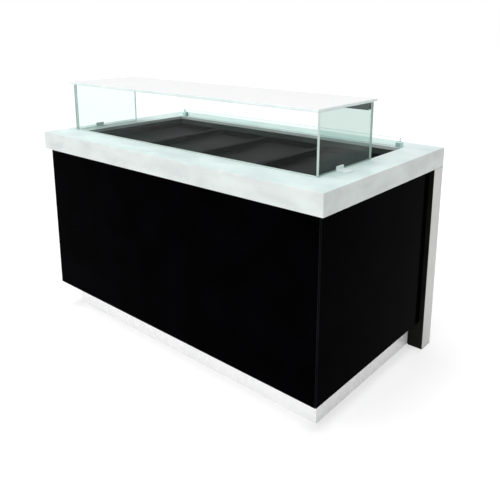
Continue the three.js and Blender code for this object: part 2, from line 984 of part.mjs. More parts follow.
// Control fascia with thermostats, knobs and rocker switches
function makeControls() {
  const top = apronUnderside - fitGap;
  const low = fasciaBottom;
  const sheet = fasciaSheet;
  const back = fasciaRearY;
  const open = back - fasciaReturn;
  const outline = [
    [open, low],
    [back, low],
    [back, top],
    [open, top],
    [open, top - sheet],
    [back - sheet, top - sheet],
    [back - sheet, low + sheet],
    [open, low + sheet],
  ];
  const middleZ = (low + top) / 2;
  const holes = knobCentreX.map((x) =>
    barAlongY(neckRadius + fitGap, x, middleZ, back - sheet - cutOverrun, back + cutOverrun),
  );
  const bodyWidth = switchBezelWidth - switchBodyInset * 2;
  const bodyHeight = switchBezelHeight - switchBodyInset * 2;
  const switchHole = block(
    switchCentreX - bodyWidth / 2 - fitGap,
    switchCentreX + bodyWidth / 2 + fitGap,
    back - sheet - cutOverrun,
    back + cutOverrun,
    middleZ - bodyHeight / 2 - fitGap,
    middleZ + bodyHeight / 2 + fitGap,
  );
  const fascia = cut(alongX(shapeOf(outline), -betweenLegs, betweenLegs), ...holes, switchHole);
  return assembly(
    piece('control_fascia', fascia, brushedSteel()),
    ...sides.flatMap(({ side }, index) => makeThermostat(side, knobCentreX[index], middleZ)),
    ...makeSwitches(middleZ, bodyWidth, bodyHeight),
    makeTerminalBox(middleZ),
  );
}

/** A thermostat behind the fascia, and the knob whose stem turns in its neck. */
function makeThermostat(side, x, z) {
  const inside = fasciaRearY - fasciaSheet - fitGap;
  const neckEnd = fasciaRearY + neckStandOff;
  const body = block(
    x - thermostatWidth / 2,
    x + thermostatWidth / 2,
    inside - thermostatDepth,
    inside,
    z - thermostatHeight / 2,
    z + thermostatHeight / 2,
  );
  const neck = barAlongY(neckRadius, x, z, neckEnd - neckLength, neckEnd);
  const knobBack = fasciaRearY + neckStandOff + knobClearance;
  const stemEnd = knobBack - spindleLength;
  const bore = barAlongY(spindleRadius + fitGap, x, z, stemEnd - fitGap, neckEnd + cutOverrun);
  return [
    piece(`thermostat_${side}`, cut(join(body, neck), bore), blackPlastic()),
    makeKnob(side, x, knobBack, z),
  ];
}

/** A skirted knob with a raised finger grip, its face turned to the operator. */
function makeKnob(side, x, y, z) {
  const edge = knobSkirtHeight / 2;
  const profile = [
    [0, -spindleLength],
    [spindleRadius, -spindleLength],
    [spindleRadius, 0],
    [knobSkirtRadius, 0],
    [knobSkirtRadius, knobSkirtHeight - edge],
    [knobSkirtRadius - edge, knobSkirtHeight],
    [knobRadius, knobSkirtHeight],
    [knobRadius - edge, knobHeight - knobGripHeight],
    [0, knobHeight - knobGripHeight],
  ];
  const grip = new THREE.ExtrudeGeometry(
    roundedOutline(
      THREE.Shape,
      -knobGripWidth / 2,
      knobGripWidth / 2,
      -knobRadius + edge,
      knobRadius - edge,
      knobGripWidth / 2 - edge,
    ),
    { depth: knobHeight - knobSkirtHeight, bevelEnabled: false, curveSegments: cornerSteps },
  ).translate(0, 0, knobSkirtHeight);
  const knob = piece(`knob_${side}`, join(turned(profile), grip), blackPlastic());
  knob.rotation.x = -Math.PI / 2;
  knob.position.set(x, y, z);
  return knob;
}

/** A twin bezel with a rocker for the power and one for the light. */
function makeSwitches(middleZ, bodyWidth, bodyHeight) {
  const face = fasciaRearY + fitGap;
  const bezelFace = face + switchBezelThickness;
  const bezel = block(
    switchCentreX - switchBezelWidth / 2,
    switchCentreX + switchBezelWidth / 2,
    face,
    bezelFace,
    middleZ - switchBezelHeight / 2,
    middleZ + switchBezelHeight / 2,
  );
  const body = block(
    switchCentreX - bodyWidth / 2,
    switchCentreX + bodyWidth / 2,
    bezelFace - switchBodyDepth,
    bezelFace - switchBezelThickness / 2,
    middleZ - bodyHeight / 2,
    middleZ + bodyHeight / 2,
  );
  const rockers = [
    { name: 'power_rocker', x: switchCentreX - switchPitch / 2, material: redPlastic() },
    { name: 'light_rocker', x: switchCentreX + switchPitch / 2, material: blackPlastic() },
  ];
  const pockets = rockers.map(({ x }) =>
    block(
      x - rockerWidth / 2 - rockerGap,
      x + rockerWidth / 2 + rockerGap,
      bezelFace - rockerPocketDepth,
      bezelFace + cutOverrun,
      middleZ - rockerHeight / 2 - rockerGap,
      middleZ + rockerHeight / 2 + rockerGap,
    ),
  );
  return [
    piece('switch_bezel', cut(join(bezel, body), ...pockets), blackPlastic()),
    ...rockers.map(({ name, x, material }) => makeRocker(name, x, bezelFace, middleZ, material)),
  ];
}

/** A rocker: a round-backed body with two flats that meet over its pivot. */
function makeRocker(name, x, y, z, material) {
  const half = rockerHeight / 2;
  const backSteps = cornerSteps * 2;
  const backAngle = Math.asin(half / rockerRadius);
  const back = Array.from({ length: backSteps + 1 }, (_, step) => {
    const angle = backAngle - (2 * backAngle * step) / backSteps;
    return [-rockerRadius * Math.cos(angle), rockerRadius * Math.sin(angle)];
  });
  const outline = [[0, -half], [rockerProud, 0], [0, half], ...back];
  const rocker = piece(name, alongX(shapeOf(outline), -rockerWidth / 2, rockerWidth / 2), material);
  rocker.position.set(x, y, z);
  rocker.rotation.x = THREE.MathUtils.degToRad(-rockerTilt);
  return rocker;
}

/** Wiring box inside the fascia, with a raised lid towards the cabinet. */
function makeTerminalBox(middleZ) {
  const rear = fasciaRearY - fasciaSheet - fitGap;
  const right = knobCentreX[1] + terminalBoxOffset;
  const left = right - terminalBoxWidth;
  const low = middleZ - terminalBoxHeight / 2;
  const high = middleZ + terminalBoxHeight / 2;
  const lidFront = rear - terminalBoxDepth;
  const body = block(left, right, lidFront + terminalLidHeight, rear, low, high);
  const lid = block(
    left - terminalBoxWall,
    right + terminalBoxWall,
    lidFront,
    lidFront + terminalLidHeight + terminalBoxWall,
    low - terminalBoxWall,
    high + terminalBoxWall,
  );
  return piece('terminal_box', join(body, lid), blackPlastic());
}

// Sliding doors: two lanes between the legs

function laneWidth() {
  return doorThickness + laneClearance * 2;
}

function trackFrontY() {
  return fasciaRearY - trackSetback - 2 * laneWidth() - 3 * trackSheet;
}

/** The section of a two-lane track: a flat base and three ribs, pointing up or down. */
function trackOutline(base, rib, direction) {
  const step = laneWidth() + trackSheet;
  const front = trackFrontY();
  const rear = front + 2 * step + trackSheet;
  const seat = base + direction * trackSheet;
  const tip = seat + direction * rib;
  const outline = [[front, base], [rear, base]];
  for (let ribIndex = 2; ribIndex >= 0; ribIndex -= 1) {
    const ribFront = front + ribIndex * step;
    outline.push([ribFront + trackSheet, tip], [ribFront, tip]);
    if (ribIndex > 0) {
      outline.push([ribFront, seat], [ribFront - laneWidth(), seat]);
    }
  }
  return direction > 0 ? outline : outline.reverse();
}

function makeDoors() {
  const trackBase = cabinetFloor + fitGap;
  const trackCeiling = fasciaBottom - fitGap;
  const doorBottom = trackBase + trackSheet + doorRunGap;
  const doorTop = trackCeiling - trackSheet - doorLiftGap;
  const doorWidth = betweenLegs + doorOverlap / 2 - fitGap;
  const doors = sides.map(({ side, sign }) => {
    const lane = sign < 0 ? 1 : 0;
    const front = trackFrontY() + trackSheet + laneClearance + lane * (laneWidth() + trackSheet);
    const outer = sign * (betweenLegs - fitGap);
    const inner = outer - sign * doorWidth;
    const rect = {
      left: Math.min(inner, outer),
      right: Math.max(inner, outer),
      front: doorBottom,
      rear: doorTop,
    };
    const gripOuter = outer - sign * gripEdge;
    const gripInner = gripOuter - sign * gripWidth;
    const middleZ = (doorBottom + doorTop) / 2;
    const grip = {
      left: Math.min(gripInner, gripOuter),
      right: Math.max(gripInner, gripOuter),
      front: middleZ - gripHeight / 2,
      rear: middleZ + gripHeight / 2,
    };
    const leaf = makeDoorLeaf(rect, grip).rotateX(Math.PI / 2).translate(0, front + doorThickness, 0);
    return piece(`${side}_door`, leaf, brushedSteel());
  });
  return assembly(
    piece(
      'bottom_track',
      alongX(shapeOf(trackOutline(trackBase, bottomTrackRib, 1)), -betweenLegs, betweenLegs),
      brushedSteel(),
    ),
    piece(
      'top_track',
      alongX(shapeOf(trackOutline(trackCeiling, topTrackRib, -1)), -betweenLegs, betweenLegs),
      brushedSteel(),
    ),
    ...doors,
  );
}

/** A folded pan open towards the cabinet, with a pressed grip, its face at zero and its depth along Z. */
function makeDoorLeaf(rect, grip) {
  const radius = doorCornerRadius;
  const lipLevel = doorThickness - doorSheet;
  const pan = loft([
    { rect, radius, z: 0 },
    { rect, radius, z: doorThickness },
    { rect: grow(rect, -doorLip), radius, z: doorThickness },
    { rect: grow(rect, -doorLip), radius, z: lipLevel },
    { rect: grow(rect, -doorSheet), radius, z: lipLevel },
    { rect: grow(rect, -doorSheet), radius, z: doorSheet },
  ]);
  const cup = loft([
    { rect: grow(grip, doorSheet), radius: gripCornerRadius + doorSheet, z: doorSheet / 2 },
    { rect: grow(grip, doorSheet), radius: gripCornerRadius + doorSheet, z: gripDepth + doorSheet },
  ]);
  const recess = loft([
    { rect: grip, radius: gripCornerRadius, z: -cutOverrun },
    { rect: grip, radius: gripCornerRadius, z: gripDepth },
  ]);
  return cut(join(pan, cup), recess);
}

// Cable gland in the base board
function makeGland() {
  const nutTop = panelBottom - fitGap;
  const domeTop = nutTop - glandNutHeight;
  const neckTop = cabinetFloor + glandNutHeight;
  const profile = [
    [glandBoreRadius, domeTop - glandDomeHeight],
    [glandDomeRadius * glandTaperShare, domeTop - glandDomeHeight],
    [glandDomeRadius, domeTop],
    [glandNutRadius, domeTop],
    [glandNutRadius, nutTop],
    [glandThreadRadius, nutTop],
    [glandThreadRadius, neckTop],
    [glandBoreRadius, neckTop],
    [glandBoreRadius, domeTop - glandDomeHeight],
  ];
  const body = piece('inlet_gland', turned(profile, roundSteps / 2), blackPlastic());
  body.position.set(gland.x, gland.y, 0);
  return body;
}

const counter = assembly(
  makeWorktop(),
  makeTopFrame(),
  ...sides.map(makeLeg),
  makeCladding(),
  makeCabinet(),
  makeBase(),
  makeWell(),
  ...makeTrays(),
  makeGlassCase(),
  makeGuard(),
  makeControls(),
  makeDoors(),
  makeGland(),
);

export default counter;
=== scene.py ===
"""Heated display counter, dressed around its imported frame.

Sizes are in millimetres until a mesh is finished, in the frame's own axes: the customer
stands at -Y, the operator at +Y, and the origin is on the floor under the worktop's middle.
"""

from __future__ import annotations

import json
import logging
import math
from dataclasses import dataclass, field, replace
from enum import Enum
from typing import Any, Callable, Iterable, Sequence

import bmesh
import bpy
from mathutils import Euler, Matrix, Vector

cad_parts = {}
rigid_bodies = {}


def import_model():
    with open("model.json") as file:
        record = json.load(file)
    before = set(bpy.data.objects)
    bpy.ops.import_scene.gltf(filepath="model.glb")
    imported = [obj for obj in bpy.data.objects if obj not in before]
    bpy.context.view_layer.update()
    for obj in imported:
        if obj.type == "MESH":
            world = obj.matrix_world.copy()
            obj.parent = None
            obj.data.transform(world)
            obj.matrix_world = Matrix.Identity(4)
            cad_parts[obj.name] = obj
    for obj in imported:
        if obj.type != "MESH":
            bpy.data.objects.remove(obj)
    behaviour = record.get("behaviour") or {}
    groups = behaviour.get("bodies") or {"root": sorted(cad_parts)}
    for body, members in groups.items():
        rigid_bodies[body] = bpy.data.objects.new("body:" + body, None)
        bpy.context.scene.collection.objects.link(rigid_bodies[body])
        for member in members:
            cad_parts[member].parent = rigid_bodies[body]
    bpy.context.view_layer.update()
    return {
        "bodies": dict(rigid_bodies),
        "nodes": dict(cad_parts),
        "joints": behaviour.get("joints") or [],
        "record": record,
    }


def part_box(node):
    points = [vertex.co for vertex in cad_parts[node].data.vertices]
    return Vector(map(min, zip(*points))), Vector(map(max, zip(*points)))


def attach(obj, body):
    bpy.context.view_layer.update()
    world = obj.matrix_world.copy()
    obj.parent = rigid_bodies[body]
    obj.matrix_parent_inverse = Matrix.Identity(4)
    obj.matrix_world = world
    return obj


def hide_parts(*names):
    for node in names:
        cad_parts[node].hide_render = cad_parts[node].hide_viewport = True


LOG = logging.getLogger("counter")
METRES = 0.001
CORNER_STEPS = 8
ROUND_STEPS = 48
# A face looks along an axis when its normal has more than this of it.
ALONG = 0.9

Pair = tuple[float, float]
Point = tuple[float, float, float]
Colour = tuple[float, float, float]
Ring = list[Point]
Placing = Callable[[Point], Point]
Material = bpy.types.Material
Object = bpy.types.Object
Socket = bpy.types.NodeSocket
Feed = float | int | tuple | Socket


class Side(Enum):
    """The two mirrored halves of the counter, as the customer sees them."""

    LEFT = -1
    RIGHT = 1

    @property
    def word(self) -> str:
        """The side's name as the frame's nodes spell it."""
        return self.name.lower()

    @property
    def outwards(self) -> Facing:
        """The facing of a screw head that looks away from the counter's middle."""
        return Facing.RIGHTWARDS if self is Side.RIGHT else Facing.LEFTWARDS


class Axis(Enum):
    """The direction in which a section is drawn out."""

    X = 0
    Y = 1
    Z = 2


class Facing(Enum):
    """The way a screw's head looks, as a turn from +Z."""

    UP = (0.0, 0.0, 0.0)
    OPERATOR = (-math.pi / 2, 0.0, 0.0)
    CUSTOMER = (math.pi / 2, 0.0, 0.0)
    LEFTWARDS = (0.0, -math.pi / 2, 0.0)
    RIGHTWARDS = (0.0, math.pi / 2, 0.0)


@dataclass(frozen=True)
class Rect:
    """A rectangle in plan."""

    left: float
    right: float
    front: float
    rear: float

    def grow(self, amount: float) -> Rect:
        """The rectangle with every side moved outwards."""
        return Rect(self.left - amount, self.right + amount, self.front - amount, self.rear + amount)

    @property
    def width(self) -> float:
        """The size from left to right."""
        return self.right - self.left

    @property
    def depth(self) -> float:
        """The size from front to rear."""
        return self.rear - self.front


@dataclass(frozen=True)
class Extent(Rect):
    """A box: a rectangle in plan with its levels."""

    bottom: float
    top: float

    @classmethod
    def of(cls, node: str) -> Extent:
        """Reads a node's box from the frame, in millimetres."""
        low, high = (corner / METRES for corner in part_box(node))
        return cls(low.x, high.x, low.y, high.y, low.z, high.z)

    @property
    def middle(self) -> Point:
        """The centre of the box."""
        return (self.left + self.right) / 2, (self.front + self.rear) / 2, (self.bottom + self.top) / 2


def metres(*sizes: float) -> tuple[float, ...]:
    """Millimetres as the metres that Geometry Nodes take."""
    return tuple(size * METRES for size in sizes)


def moved(across: float, along: float) -> Placing:
    """A placing that moves points in plan."""
    return lambda point: (point[0] + across, point[1] + along, point[2])


def stand(name: str, data: bpy.types.ID) -> Object:
    """Makes an object and puts it in the scene.

    Args:
        name: The object's name.
        data: Its mesh, lamp or camera.

    Returns:
        The object, at the origin.
    """
    made = bpy.data.objects.new(name, data)
    bpy.context.scene.collection.objects.link(made)
    return made


def contour(rect: Rect, radius: float, level: float, steps: int = CORNER_STEPS) -> Ring:
    """Walks round a rectangle with rounded corners, anticlockwise from above.

    Args:
        rect: The rectangle.
        radius: The radius of its corners.
        level: The height of every point.
        steps: The number of facets in a corner.

    Returns:
        The points of the contour.
    """
    corners = (
        (rect.right - radius, rect.front + radius, -90),
        (rect.right - radius, rect.rear - radius, 0),
        (rect.left + radius, rect.rear - radius, 90),
        (rect.left + radius, rect.front + radius, 180),
    )
    points = []
    for across, along, start in corners:
        for step in range(steps + 1):
            angle = math.radians(start + 90 * step / steps)
            points.append((across + radius * math.cos(angle), along + radius * math.sin(angle), level))
    return points


def circle(radius: float, level: float, steps: int = ROUND_STEPS, flats: int = 0) -> Ring:
    """Walks round a circle, or round a polygon with the same number of points.

    Args:
        radius: The radius of the circle, or the distance of the polygon's flats.
        level: The height of every point.
        steps: The number of points.
        flats: The number of flats, or 0 for a circle.

    Returns:
        The points of the ring.
    """
    points = []
    for step in range(steps):
        angle = 2 * math.pi * step / steps
        reach = radius
        if flats:
            part = 2 * math.pi / flats
            reach = radius / math.cos((angle % part) - part / 2)
        points.append((reach * math.cos(angle), reach * math.sin(angle), level))
    return points


def quarter(radius: float, steps: int = 4) -> list[Pair]:
    """The insets and drops of a rounded edge, from the side face up to the top face."""
    turns = (math.pi / 2 * step / steps for step in range(steps + 1))
    return [(radius * (1 - math.cos(turn)), radius * (1 - math.sin(turn))) for turn in turns]


def rounding(
    rect: Rect,
    corner: float,
    level: float,
    fold: Iterable[Pair],
    spread: int = -1,
    rise: int = -1,
    taper: float = 1.0,
    steps: int = CORNER_STEPS,
) -> list[Ring]:
    """Walks round a rectangle once for each step of a rounded edge.

    Args:
        rect: The rectangle at the edge's side face.
        corner: The radius of its corners.
        level: The level of the edge's flat face.
        fold: The insets and drops of the edge, in order.
        spread: -1 where the edge turns inwards, 1 where it turns outwards.
        rise: -1 where the side face lies below the flat one, 1 where it lies above.
        taper: The share of the inset that the corners' radius follows.
        steps: The number of facets in a corner.

    Returns:
        The contours.
    """
    return [contour(rect.grow(spread * inset), corner + spread * taper * inset, level + rise * drop, steps)
            for inset, drop in fold]


class Form:
    """A mesh being built in millimetres, which becomes a piece in metres."""

    # Points of a copied node, and of a form made here, that are nearer than this are one.
    COPIED_MERGE = 0.004
    MADE_MERGE = 0.0005
    # Faces of a copied node that differ by less than this are one flat face.
    COPLANAR = math.radians(0.5)
    # The least radius of a turned profile, so that its end is a face and not a point.
    LEAST_RADIUS = 0.02
    # A slight angle shades sharp beside a face this many times larger, so that flats stay flat.
    SLIGHT = 0.02
    LARGER = 10

    def __init__(self) -> None:
        """Starts an empty mesh."""
        self.mesh = bmesh.new()

    @classmethod
    def copied(cls, source: Object) -> Form:
        """Starts from a merged copy of a node, with whole flat faces.

        Args:
            source: The node, which is left as it is.

        Returns:
            The copy.
        """
        form = cls()
        form.mesh.from_mesh(source.data)
        for vert in form.mesh.verts:
            vert.co = vert.co / METRES
        bmesh.ops.remove_doubles(form.mesh, verts=form.mesh.verts, dist=cls.COPIED_MERGE)
        bmesh.ops.dissolve_limit(
            form.mesh, angle_limit=cls.COPLANAR, verts=form.mesh.verts, edges=form.mesh.edges
        )
        form.mesh.faces.ensure_lookup_table()
        return form

    def loft(self, rings: Sequence[Ring], closed: bool = False, place: Placing | None = None) -> Form:
        """Skins rings of equal length one to the next.

        Args:
            rings: The rings in order; the first and the last are capped unless closed.
            closed: Whether the last ring joins the first.
            place: Turns a point of the rings into a point of the counter.

        Returns:
            The form itself.
        """
        put = place or (lambda point: point)
        rows = [[self.mesh.verts.new(put(point)) for point in ring] for ring in rings]
        size = len(rows[0])
        for low, high in zip(rows, rows[1:] + (rows[:1] if closed else [])):
            for here in range(size):
                after = (here + 1) % size
                self.mesh.faces.new((low[here], low[after], high[after], high[here]))
        if not closed:
            self.mesh.faces.new(rows[0][::-1])
            self.mesh.faces.new(rows[-1])
        return self

    def prism(self, outline: Sequence[Pair], axis: Axis, start: float, end: float) -> Form:
        """Draws an outline out along an axis.

        Args:
            outline: Pairs in the two other axes, in the order X, Y, Z.
            axis: The direction of the draw.
            start: Where it begins.
            end: Where it ends.

        Returns:
            The form itself.
        """
        split = axis.value
        rings = [[(*pair[:split], depth, *pair[split:]) for pair in outline] for depth in (start, end)]
        return self.loft(rings)

    def board(self, box: Extent, radius: float = 0.5, edge: float = 0.5, steps: int = 3) -> Form:
        """A flat board with rounded corners and eased edges above and below.

        Args:
            box: The board's box.
            radius: The radius of the upright corners.
            edge: The radius of the edges.
            steps: The number of facets in an edge.

        Returns:
            The form itself.
        """
        corner = max(radius, edge + 0.05)
        fold = quarter(edge, steps)
        below = rounding(box, corner, box.bottom, reversed(fold), rise=1, taper=0.9, steps=steps)
        above = rounding(box, corner, box.top, fold, taper=0.9, steps=steps)
        return self.loft(below + above)

    def pane(self, box: Extent, across: Axis, arris: float) -> Form:
        """A glass pane with eased arrises, edged on all sides but its two faces.

        Args:
            box: The pane's box.
            across: The axis through its thickness.
            arris: The width of its arrises.

        Returns:
            The form itself.
        """
        plan = [(box.left, box.front), (box.right, box.front), (box.right, box.rear), (box.left, box.rear)]
        return self.prism(plan, Axis.Z, box.bottom, box.top).ease(arris, 2).edged(across)

    def turned(self, profile: Sequence[Pair], place: Placing) -> Form:
        """Turns a profile of radius and height about the Z axis.

        Args:
            profile: The pairs, from one end of the turned body to the other.
            place: Turns a point about the origin into a point of the counter.

        Returns:
            The form itself.
        """
        rings = [circle(max(radius, self.LEAST_RADIUS), level) for radius, level in profile]
        return self.loft(rings, place=place)

    def ease(self, width: float, segments: int = 3, sharper: float = 30) -> Form:
        """Rounds every edge that is sharper than an angle.

        Args:
            width: How far the rounding reaches.
            segments: The number of facets in it.
            sharper: The least angle in degrees between the two faces.

        Returns:
            The form itself.
        """
        bmesh.ops.recalc_face_normals(self.mesh, faces=self.mesh.faces)
        sharp = [edge for edge in self.mesh.edges
                 if len(edge.link_faces) == 2 and edge.calc_face_angle(0) > math.radians(sharper)]
        bmesh.ops.bevel(self.mesh, geom=sharp, offset=width, segments=segments, profile=0.5,
                        affect="EDGES", clamp_overlap=True)
        return self

    def paint(self, rule: Callable[[Vector, Vector], int]) -> Form:
        """Gives each face the finish that a rule names.

        Args:
            rule: Takes a face's normal and centre and returns the number of a finish.

        Returns:
            The form itself.
        """
        bmesh.ops.recalc_face_normals(self.mesh, faces=self.mesh.faces)
        self.mesh.normal_update()
        for face in self.mesh.faces:
            face.material_index = rule(face.normal, face.calc_center_median())
        return self

    def edged(self, across: Axis) -> Form:
        """Gives the two faces across an axis finish 0, and every edge finish 1."""
        return self.paint(lambda normal, _: 0 if abs(normal[across.value]) > ALONG else 1)

    def finish(self, name: str, materials: Sequence[Material], limit: float = 40) -> Object:
        """Closes the form and makes it an object at the origin.

        Args:
            name: The piece's name.
            materials: Its finishes, by number.
            limit: The angle in degrees past which an edge shades sharp.

        Returns:
            The new object.
        """
        bmesh.ops.remove_doubles(self.mesh, verts=self.mesh.verts, dist=self.MADE_MERGE)
        bmesh.ops.recalc_face_normals(self.mesh, faces=self.mesh.faces)
        for face in self.mesh.faces:
            face.smooth = True
        for edge in self.mesh.edges:
            if len(edge.link_faces) == 2:
                angle = edge.calc_face_angle(0)
                small, large = sorted(face.calc_area() for face in edge.link_faces)
                flat = angle > self.SLIGHT and large > self.LARGER * small
                edge.smooth = not (angle > math.radians(limit) or flat)
        for vert in self.mesh.verts:
            vert.co = vert.co * METRES
        mesh = bpy.data.meshes.new(name)
        self.mesh.to_mesh(mesh)
        self.mesh.free()
        for material in materials:
            mesh.materials.append(material)
        return stand(name, mesh)


class Wiring:
    """A node tree under construction."""

    def __init__(self, tree: bpy.types.NodeTree) -> None:
        """Takes a tree over and empties it."""
        self.tree = tree
        tree.nodes.clear()

    def node(self, kind: str, feeds: dict[str | int, Feed] | None = None, **options: Any) -> bpy.types.Node:
        """Adds a node.

        Args:
            kind: Blender's name for the node.
            feeds: A value or a link for each input, by name or number; a colour has three numbers.
            options: The node's own settings.

        Returns:
            The node.
        """
        made = self.tree.nodes.new(kind)
        for key, value in options.items():
            setattr(made, key, value)
        for key, value in (feeds or {}).items():
            if isinstance(value, Socket):
                self.tree.links.new(value, made.inputs[key])
            else:
                coloured = made.inputs[key].type == "RGBA"
                made.inputs[key].default_value = (*value, 1.0) if coloured else value
        return made

    def out(self, kind: str, feeds: dict[str | int, Feed] | None = None, **options: Any) -> Socket:
        """Adds a node and returns its first output."""
        return self.node(kind, feeds, **options).outputs[0]

    def math(self, operation: str, first: Feed, second: Feed = 0.0) -> Socket:
        """One step of arithmetic."""
        return self.out("ShaderNodeMath", {0: first, 1: second}, operation=operation)

    def remap(self, factor: Feed, low: float, high: float, start: float = 0.0, end: float = 1.0) -> Socket:
        """Stretches the range from low to high over the range from start to end."""
        feeds = {"Value": factor, "From Min": low, "From Max": high, "To Min": start, "To Max": end}
        return self.out("ShaderNodeMapRange", feeds)


@dataclass(frozen=True)
class Noise:
    """A noise: its frequency for each metre, its octaves and how rough and how folded they are.

    The stretch, where there is one, scales each axis of the coordinates first.
    """

    scale: float
    detail: float
    roughness: float
    distortion: float = 0.0
    stretch: Point | None = None


class Recipe(Wiring):
    """A node material under construction, with its pattern in object coordinates."""

    def __init__(self, name: str) -> None:
        """Starts an empty material.

        Args:
            name: The material's name.
        """
        self.material = bpy.data.materials.new(name)
        self.material.use_nodes = True
        super().__init__(self.material.node_tree)
        self.place = self.node("ShaderNodeTexCoord").outputs["Object"]

    def noise(self, pattern: Noise) -> Socket:
        """Lays a noise over the surface.

        Args:
            pattern: The noise.

        Returns:
            Its factor.
        """
        where = self.place
        if pattern.stretch:
            where = self.out("ShaderNodeMapping", {"Vector": where, "Scale": pattern.stretch})
        return self.out("ShaderNodeTexNoise", {
            "Vector": where, "Scale": pattern.scale, "Detail": pattern.detail,
            "Roughness": pattern.roughness, "Distortion": pattern.distortion,
        })

    def blend(self, factor: Feed, low: Feed, high: Feed) -> Socket:
        """Mixes two colours."""
        return self.node("ShaderNodeMix", {0: factor, 6: low, 7: high}, data_type="RGBA").outputs[2]

    def bump(self, height: Feed, strength: float, distance: float) -> Socket:
        """Raises the surface by a height, in metres."""
        return self.out("ShaderNodeBump", {"Height": height, "Strength": strength, "Distance": distance})

    def principled(self, feeds: dict[str | int, Feed]) -> Socket:
        """The main shader with some of its inputs set."""
        return self.out("ShaderNodeBsdfPrincipled", feeds)

    def done(self, shader: Socket) -> Material:
        """Ends the material with a shader."""
        self.node("ShaderNodeOutputMaterial", {"Surface": shader})
        return self.material


@dataclass(frozen=True)
class Finish:
    """The base of every finish, which names it and builds its material."""

    name: str

    def make(self) -> Material:
        """Builds the finish's material."""
        recipe = Recipe(self.name)
        return recipe.done(self.shader(recipe))

    def shader(self, recipe: Recipe) -> Socket:
        """Builds the finish's shader.

        Args:
            recipe: The empty material.

        Returns:
            The shader's output.
        """
        raise NotImplementedError


@dataclass(frozen=True)
class Marble(Finish):
    """Honed white stone with soft grey clouds and faint veins."""

    name: str = "worktop_stone"
    ground: Colour = (0.74, 0.795, 0.775)
    cloud: Colour = (0.635, 0.68, 0.67)
    vein: Colour = (0.5, 0.54, 0.54)
    clouds: Noise = Noise(6.5, 4.0, 0.5, 0.3, (1.0, 1.4, 2.4))
    cloud_span: Pair = (0.38, 0.66)
    folds: Noise = Noise(1.6, 3.0, 0.45, 0.4, (1.0, 1.7, 1.2))
    vein_width: float = 0.07
    vein_share: float = 0.12
    grain: Noise = Noise(420.0, 3.0, 0.6)
    grain_span: Pair = (0.55, 0.8)
    grain_share: float = 0.04
    roughness: Pair = (0.36, 0.48)
    specular: float = 0.3
    raised: Pair = (0.05, 0.0002)

    def shader(self, recipe: Recipe) -> Socket:
        """Builds the stone."""
        clouds = recipe.noise(self.clouds)
        ground = recipe.blend(recipe.remap(clouds, *self.cloud_span), self.ground, self.cloud)
        ridge = recipe.math("ABSOLUTE", recipe.math("SUBTRACT", recipe.noise(self.folds), 0.5))
        thread = recipe.math("MULTIPLY", recipe.remap(ridge, 0.0, self.vein_width, 1.0, 0.0), self.vein_share)
        grain = recipe.remap(recipe.noise(self.grain), *self.grain_span, 0.0, self.grain_share)
        return recipe.principled({
            "Base Color": recipe.blend(grain, recipe.blend(thread, ground, self.vein), self.vein),
            "Roughness": recipe.remap(clouds, 0.3, 0.7, *self.roughness),
            "Specular IOR Level": self.specular,
            "Normal": recipe.bump(clouds, *self.raised),
        })


@dataclass(frozen=True)
class Coat(Finish):
    """An opaque finish: a noise mixes two tones, and it or another one sets roughness and relief."""

    colour: Colour
    shade: Colour
    roughness: Pair = (0.35, 0.5)
    specular: float = 0.5
    tones: Noise = Noise(9.0, 5.0, 0.6, 0.5)
    span: Pair = (0.35, 0.7)
    wear: Noise | None = None
    wear_span: Pair = (0.3, 0.7)
    relief: Noise | None = None
    raised: Pair | None = None
    others: tuple[tuple[str, Feed], ...] = ()

    def shader(self, recipe: Recipe) -> Socket:
        """Builds the coat."""
        tones = recipe.noise(self.tones)
        wear = recipe.noise(self.wear) if self.wear else tones
        feeds = {
            "Base Color": recipe.blend(recipe.remap(tones, *self.span), self.colour, self.shade),
            "Roughness": recipe.remap(wear, *self.wear_span, *self.roughness),
            "Specular IOR Level": self.specular,
            **dict(self.others),
        }
        if self.raised:
            relief = recipe.noise(self.relief) if self.relief else tones
            feeds["Normal"] = recipe.bump(relief, *self.raised)
        return recipe.principled(feeds)


@dataclass(frozen=True)
class GlossLaminate(Coat):
    """Black laminate with a deep gloss and the faint waviness of a pressed face."""

    name: str = "gloss_panel"
    colour: Colour = (0.0004, 0.0004, 0.0006)
    shade: Colour = (0.001, 0.001, 0.0016)
    roughness: Pair = (0.1, 0.19)
    specular: float = 0.002
    tones: Noise = Noise(7.0, 2.0, 0.4)
    wear: Noise = Noise(160.0, 6.0, 0.7, 0.4, (1.0, 1.0, 0.3))
    wear_span: Pair = (0.35, 0.75)
    raised: Pair = (0.08, 0.002)


@dataclass(frozen=True)
class BrushedSteel(Finish):
    """Stainless sheet with brushing along one axis and smears over it."""

    colour: Colour = (0.58, 0.58, 0.585)
    dark: Colour = (0.46, 0.46, 0.47)
    grain: Point = (700.0, 700.0, 6.0)
    roughness: Pair = (0.28, 0.42)
    metallic: float = 1.0
    smears: Noise = Noise(6.0, 4.0, 0.55, 0.3)
    smear_share: float = 0.3
    raised: Pair = (0.25, 0.0001)

    def shader(self, recipe: Recipe) -> Socket:
        """Builds the steel."""
        strokes = recipe.noise(Noise(1.0, 4.0, 0.65, 0.0, self.grain))
        smears = recipe.math("MULTIPLY", recipe.noise(self.smears), self.smear_share)
        worn = recipe.math("ADD", recipe.math("MULTIPLY", strokes, 1 - self.smear_share), smears)
        return recipe.principled({
            "Base Color": recipe.blend(recipe.remap(worn, 0.38, 0.62), self.dark, self.colour),
            "Metallic": self.metallic,
            "Roughness": recipe.remap(worn, 0.35, 0.65, *self.roughness),
            "Normal": recipe.bump(strokes, *self.raised),
        })


@dataclass(frozen=True)
class SatinPaint(Coat):
    """A satin coat over metal, with a fine orange-peel and worn patches."""

    specular: float = 0.4
    relief: Noise = Noise(260.0, 3.0, 0.5)
    raised: Pair = (0.3, 0.00015)


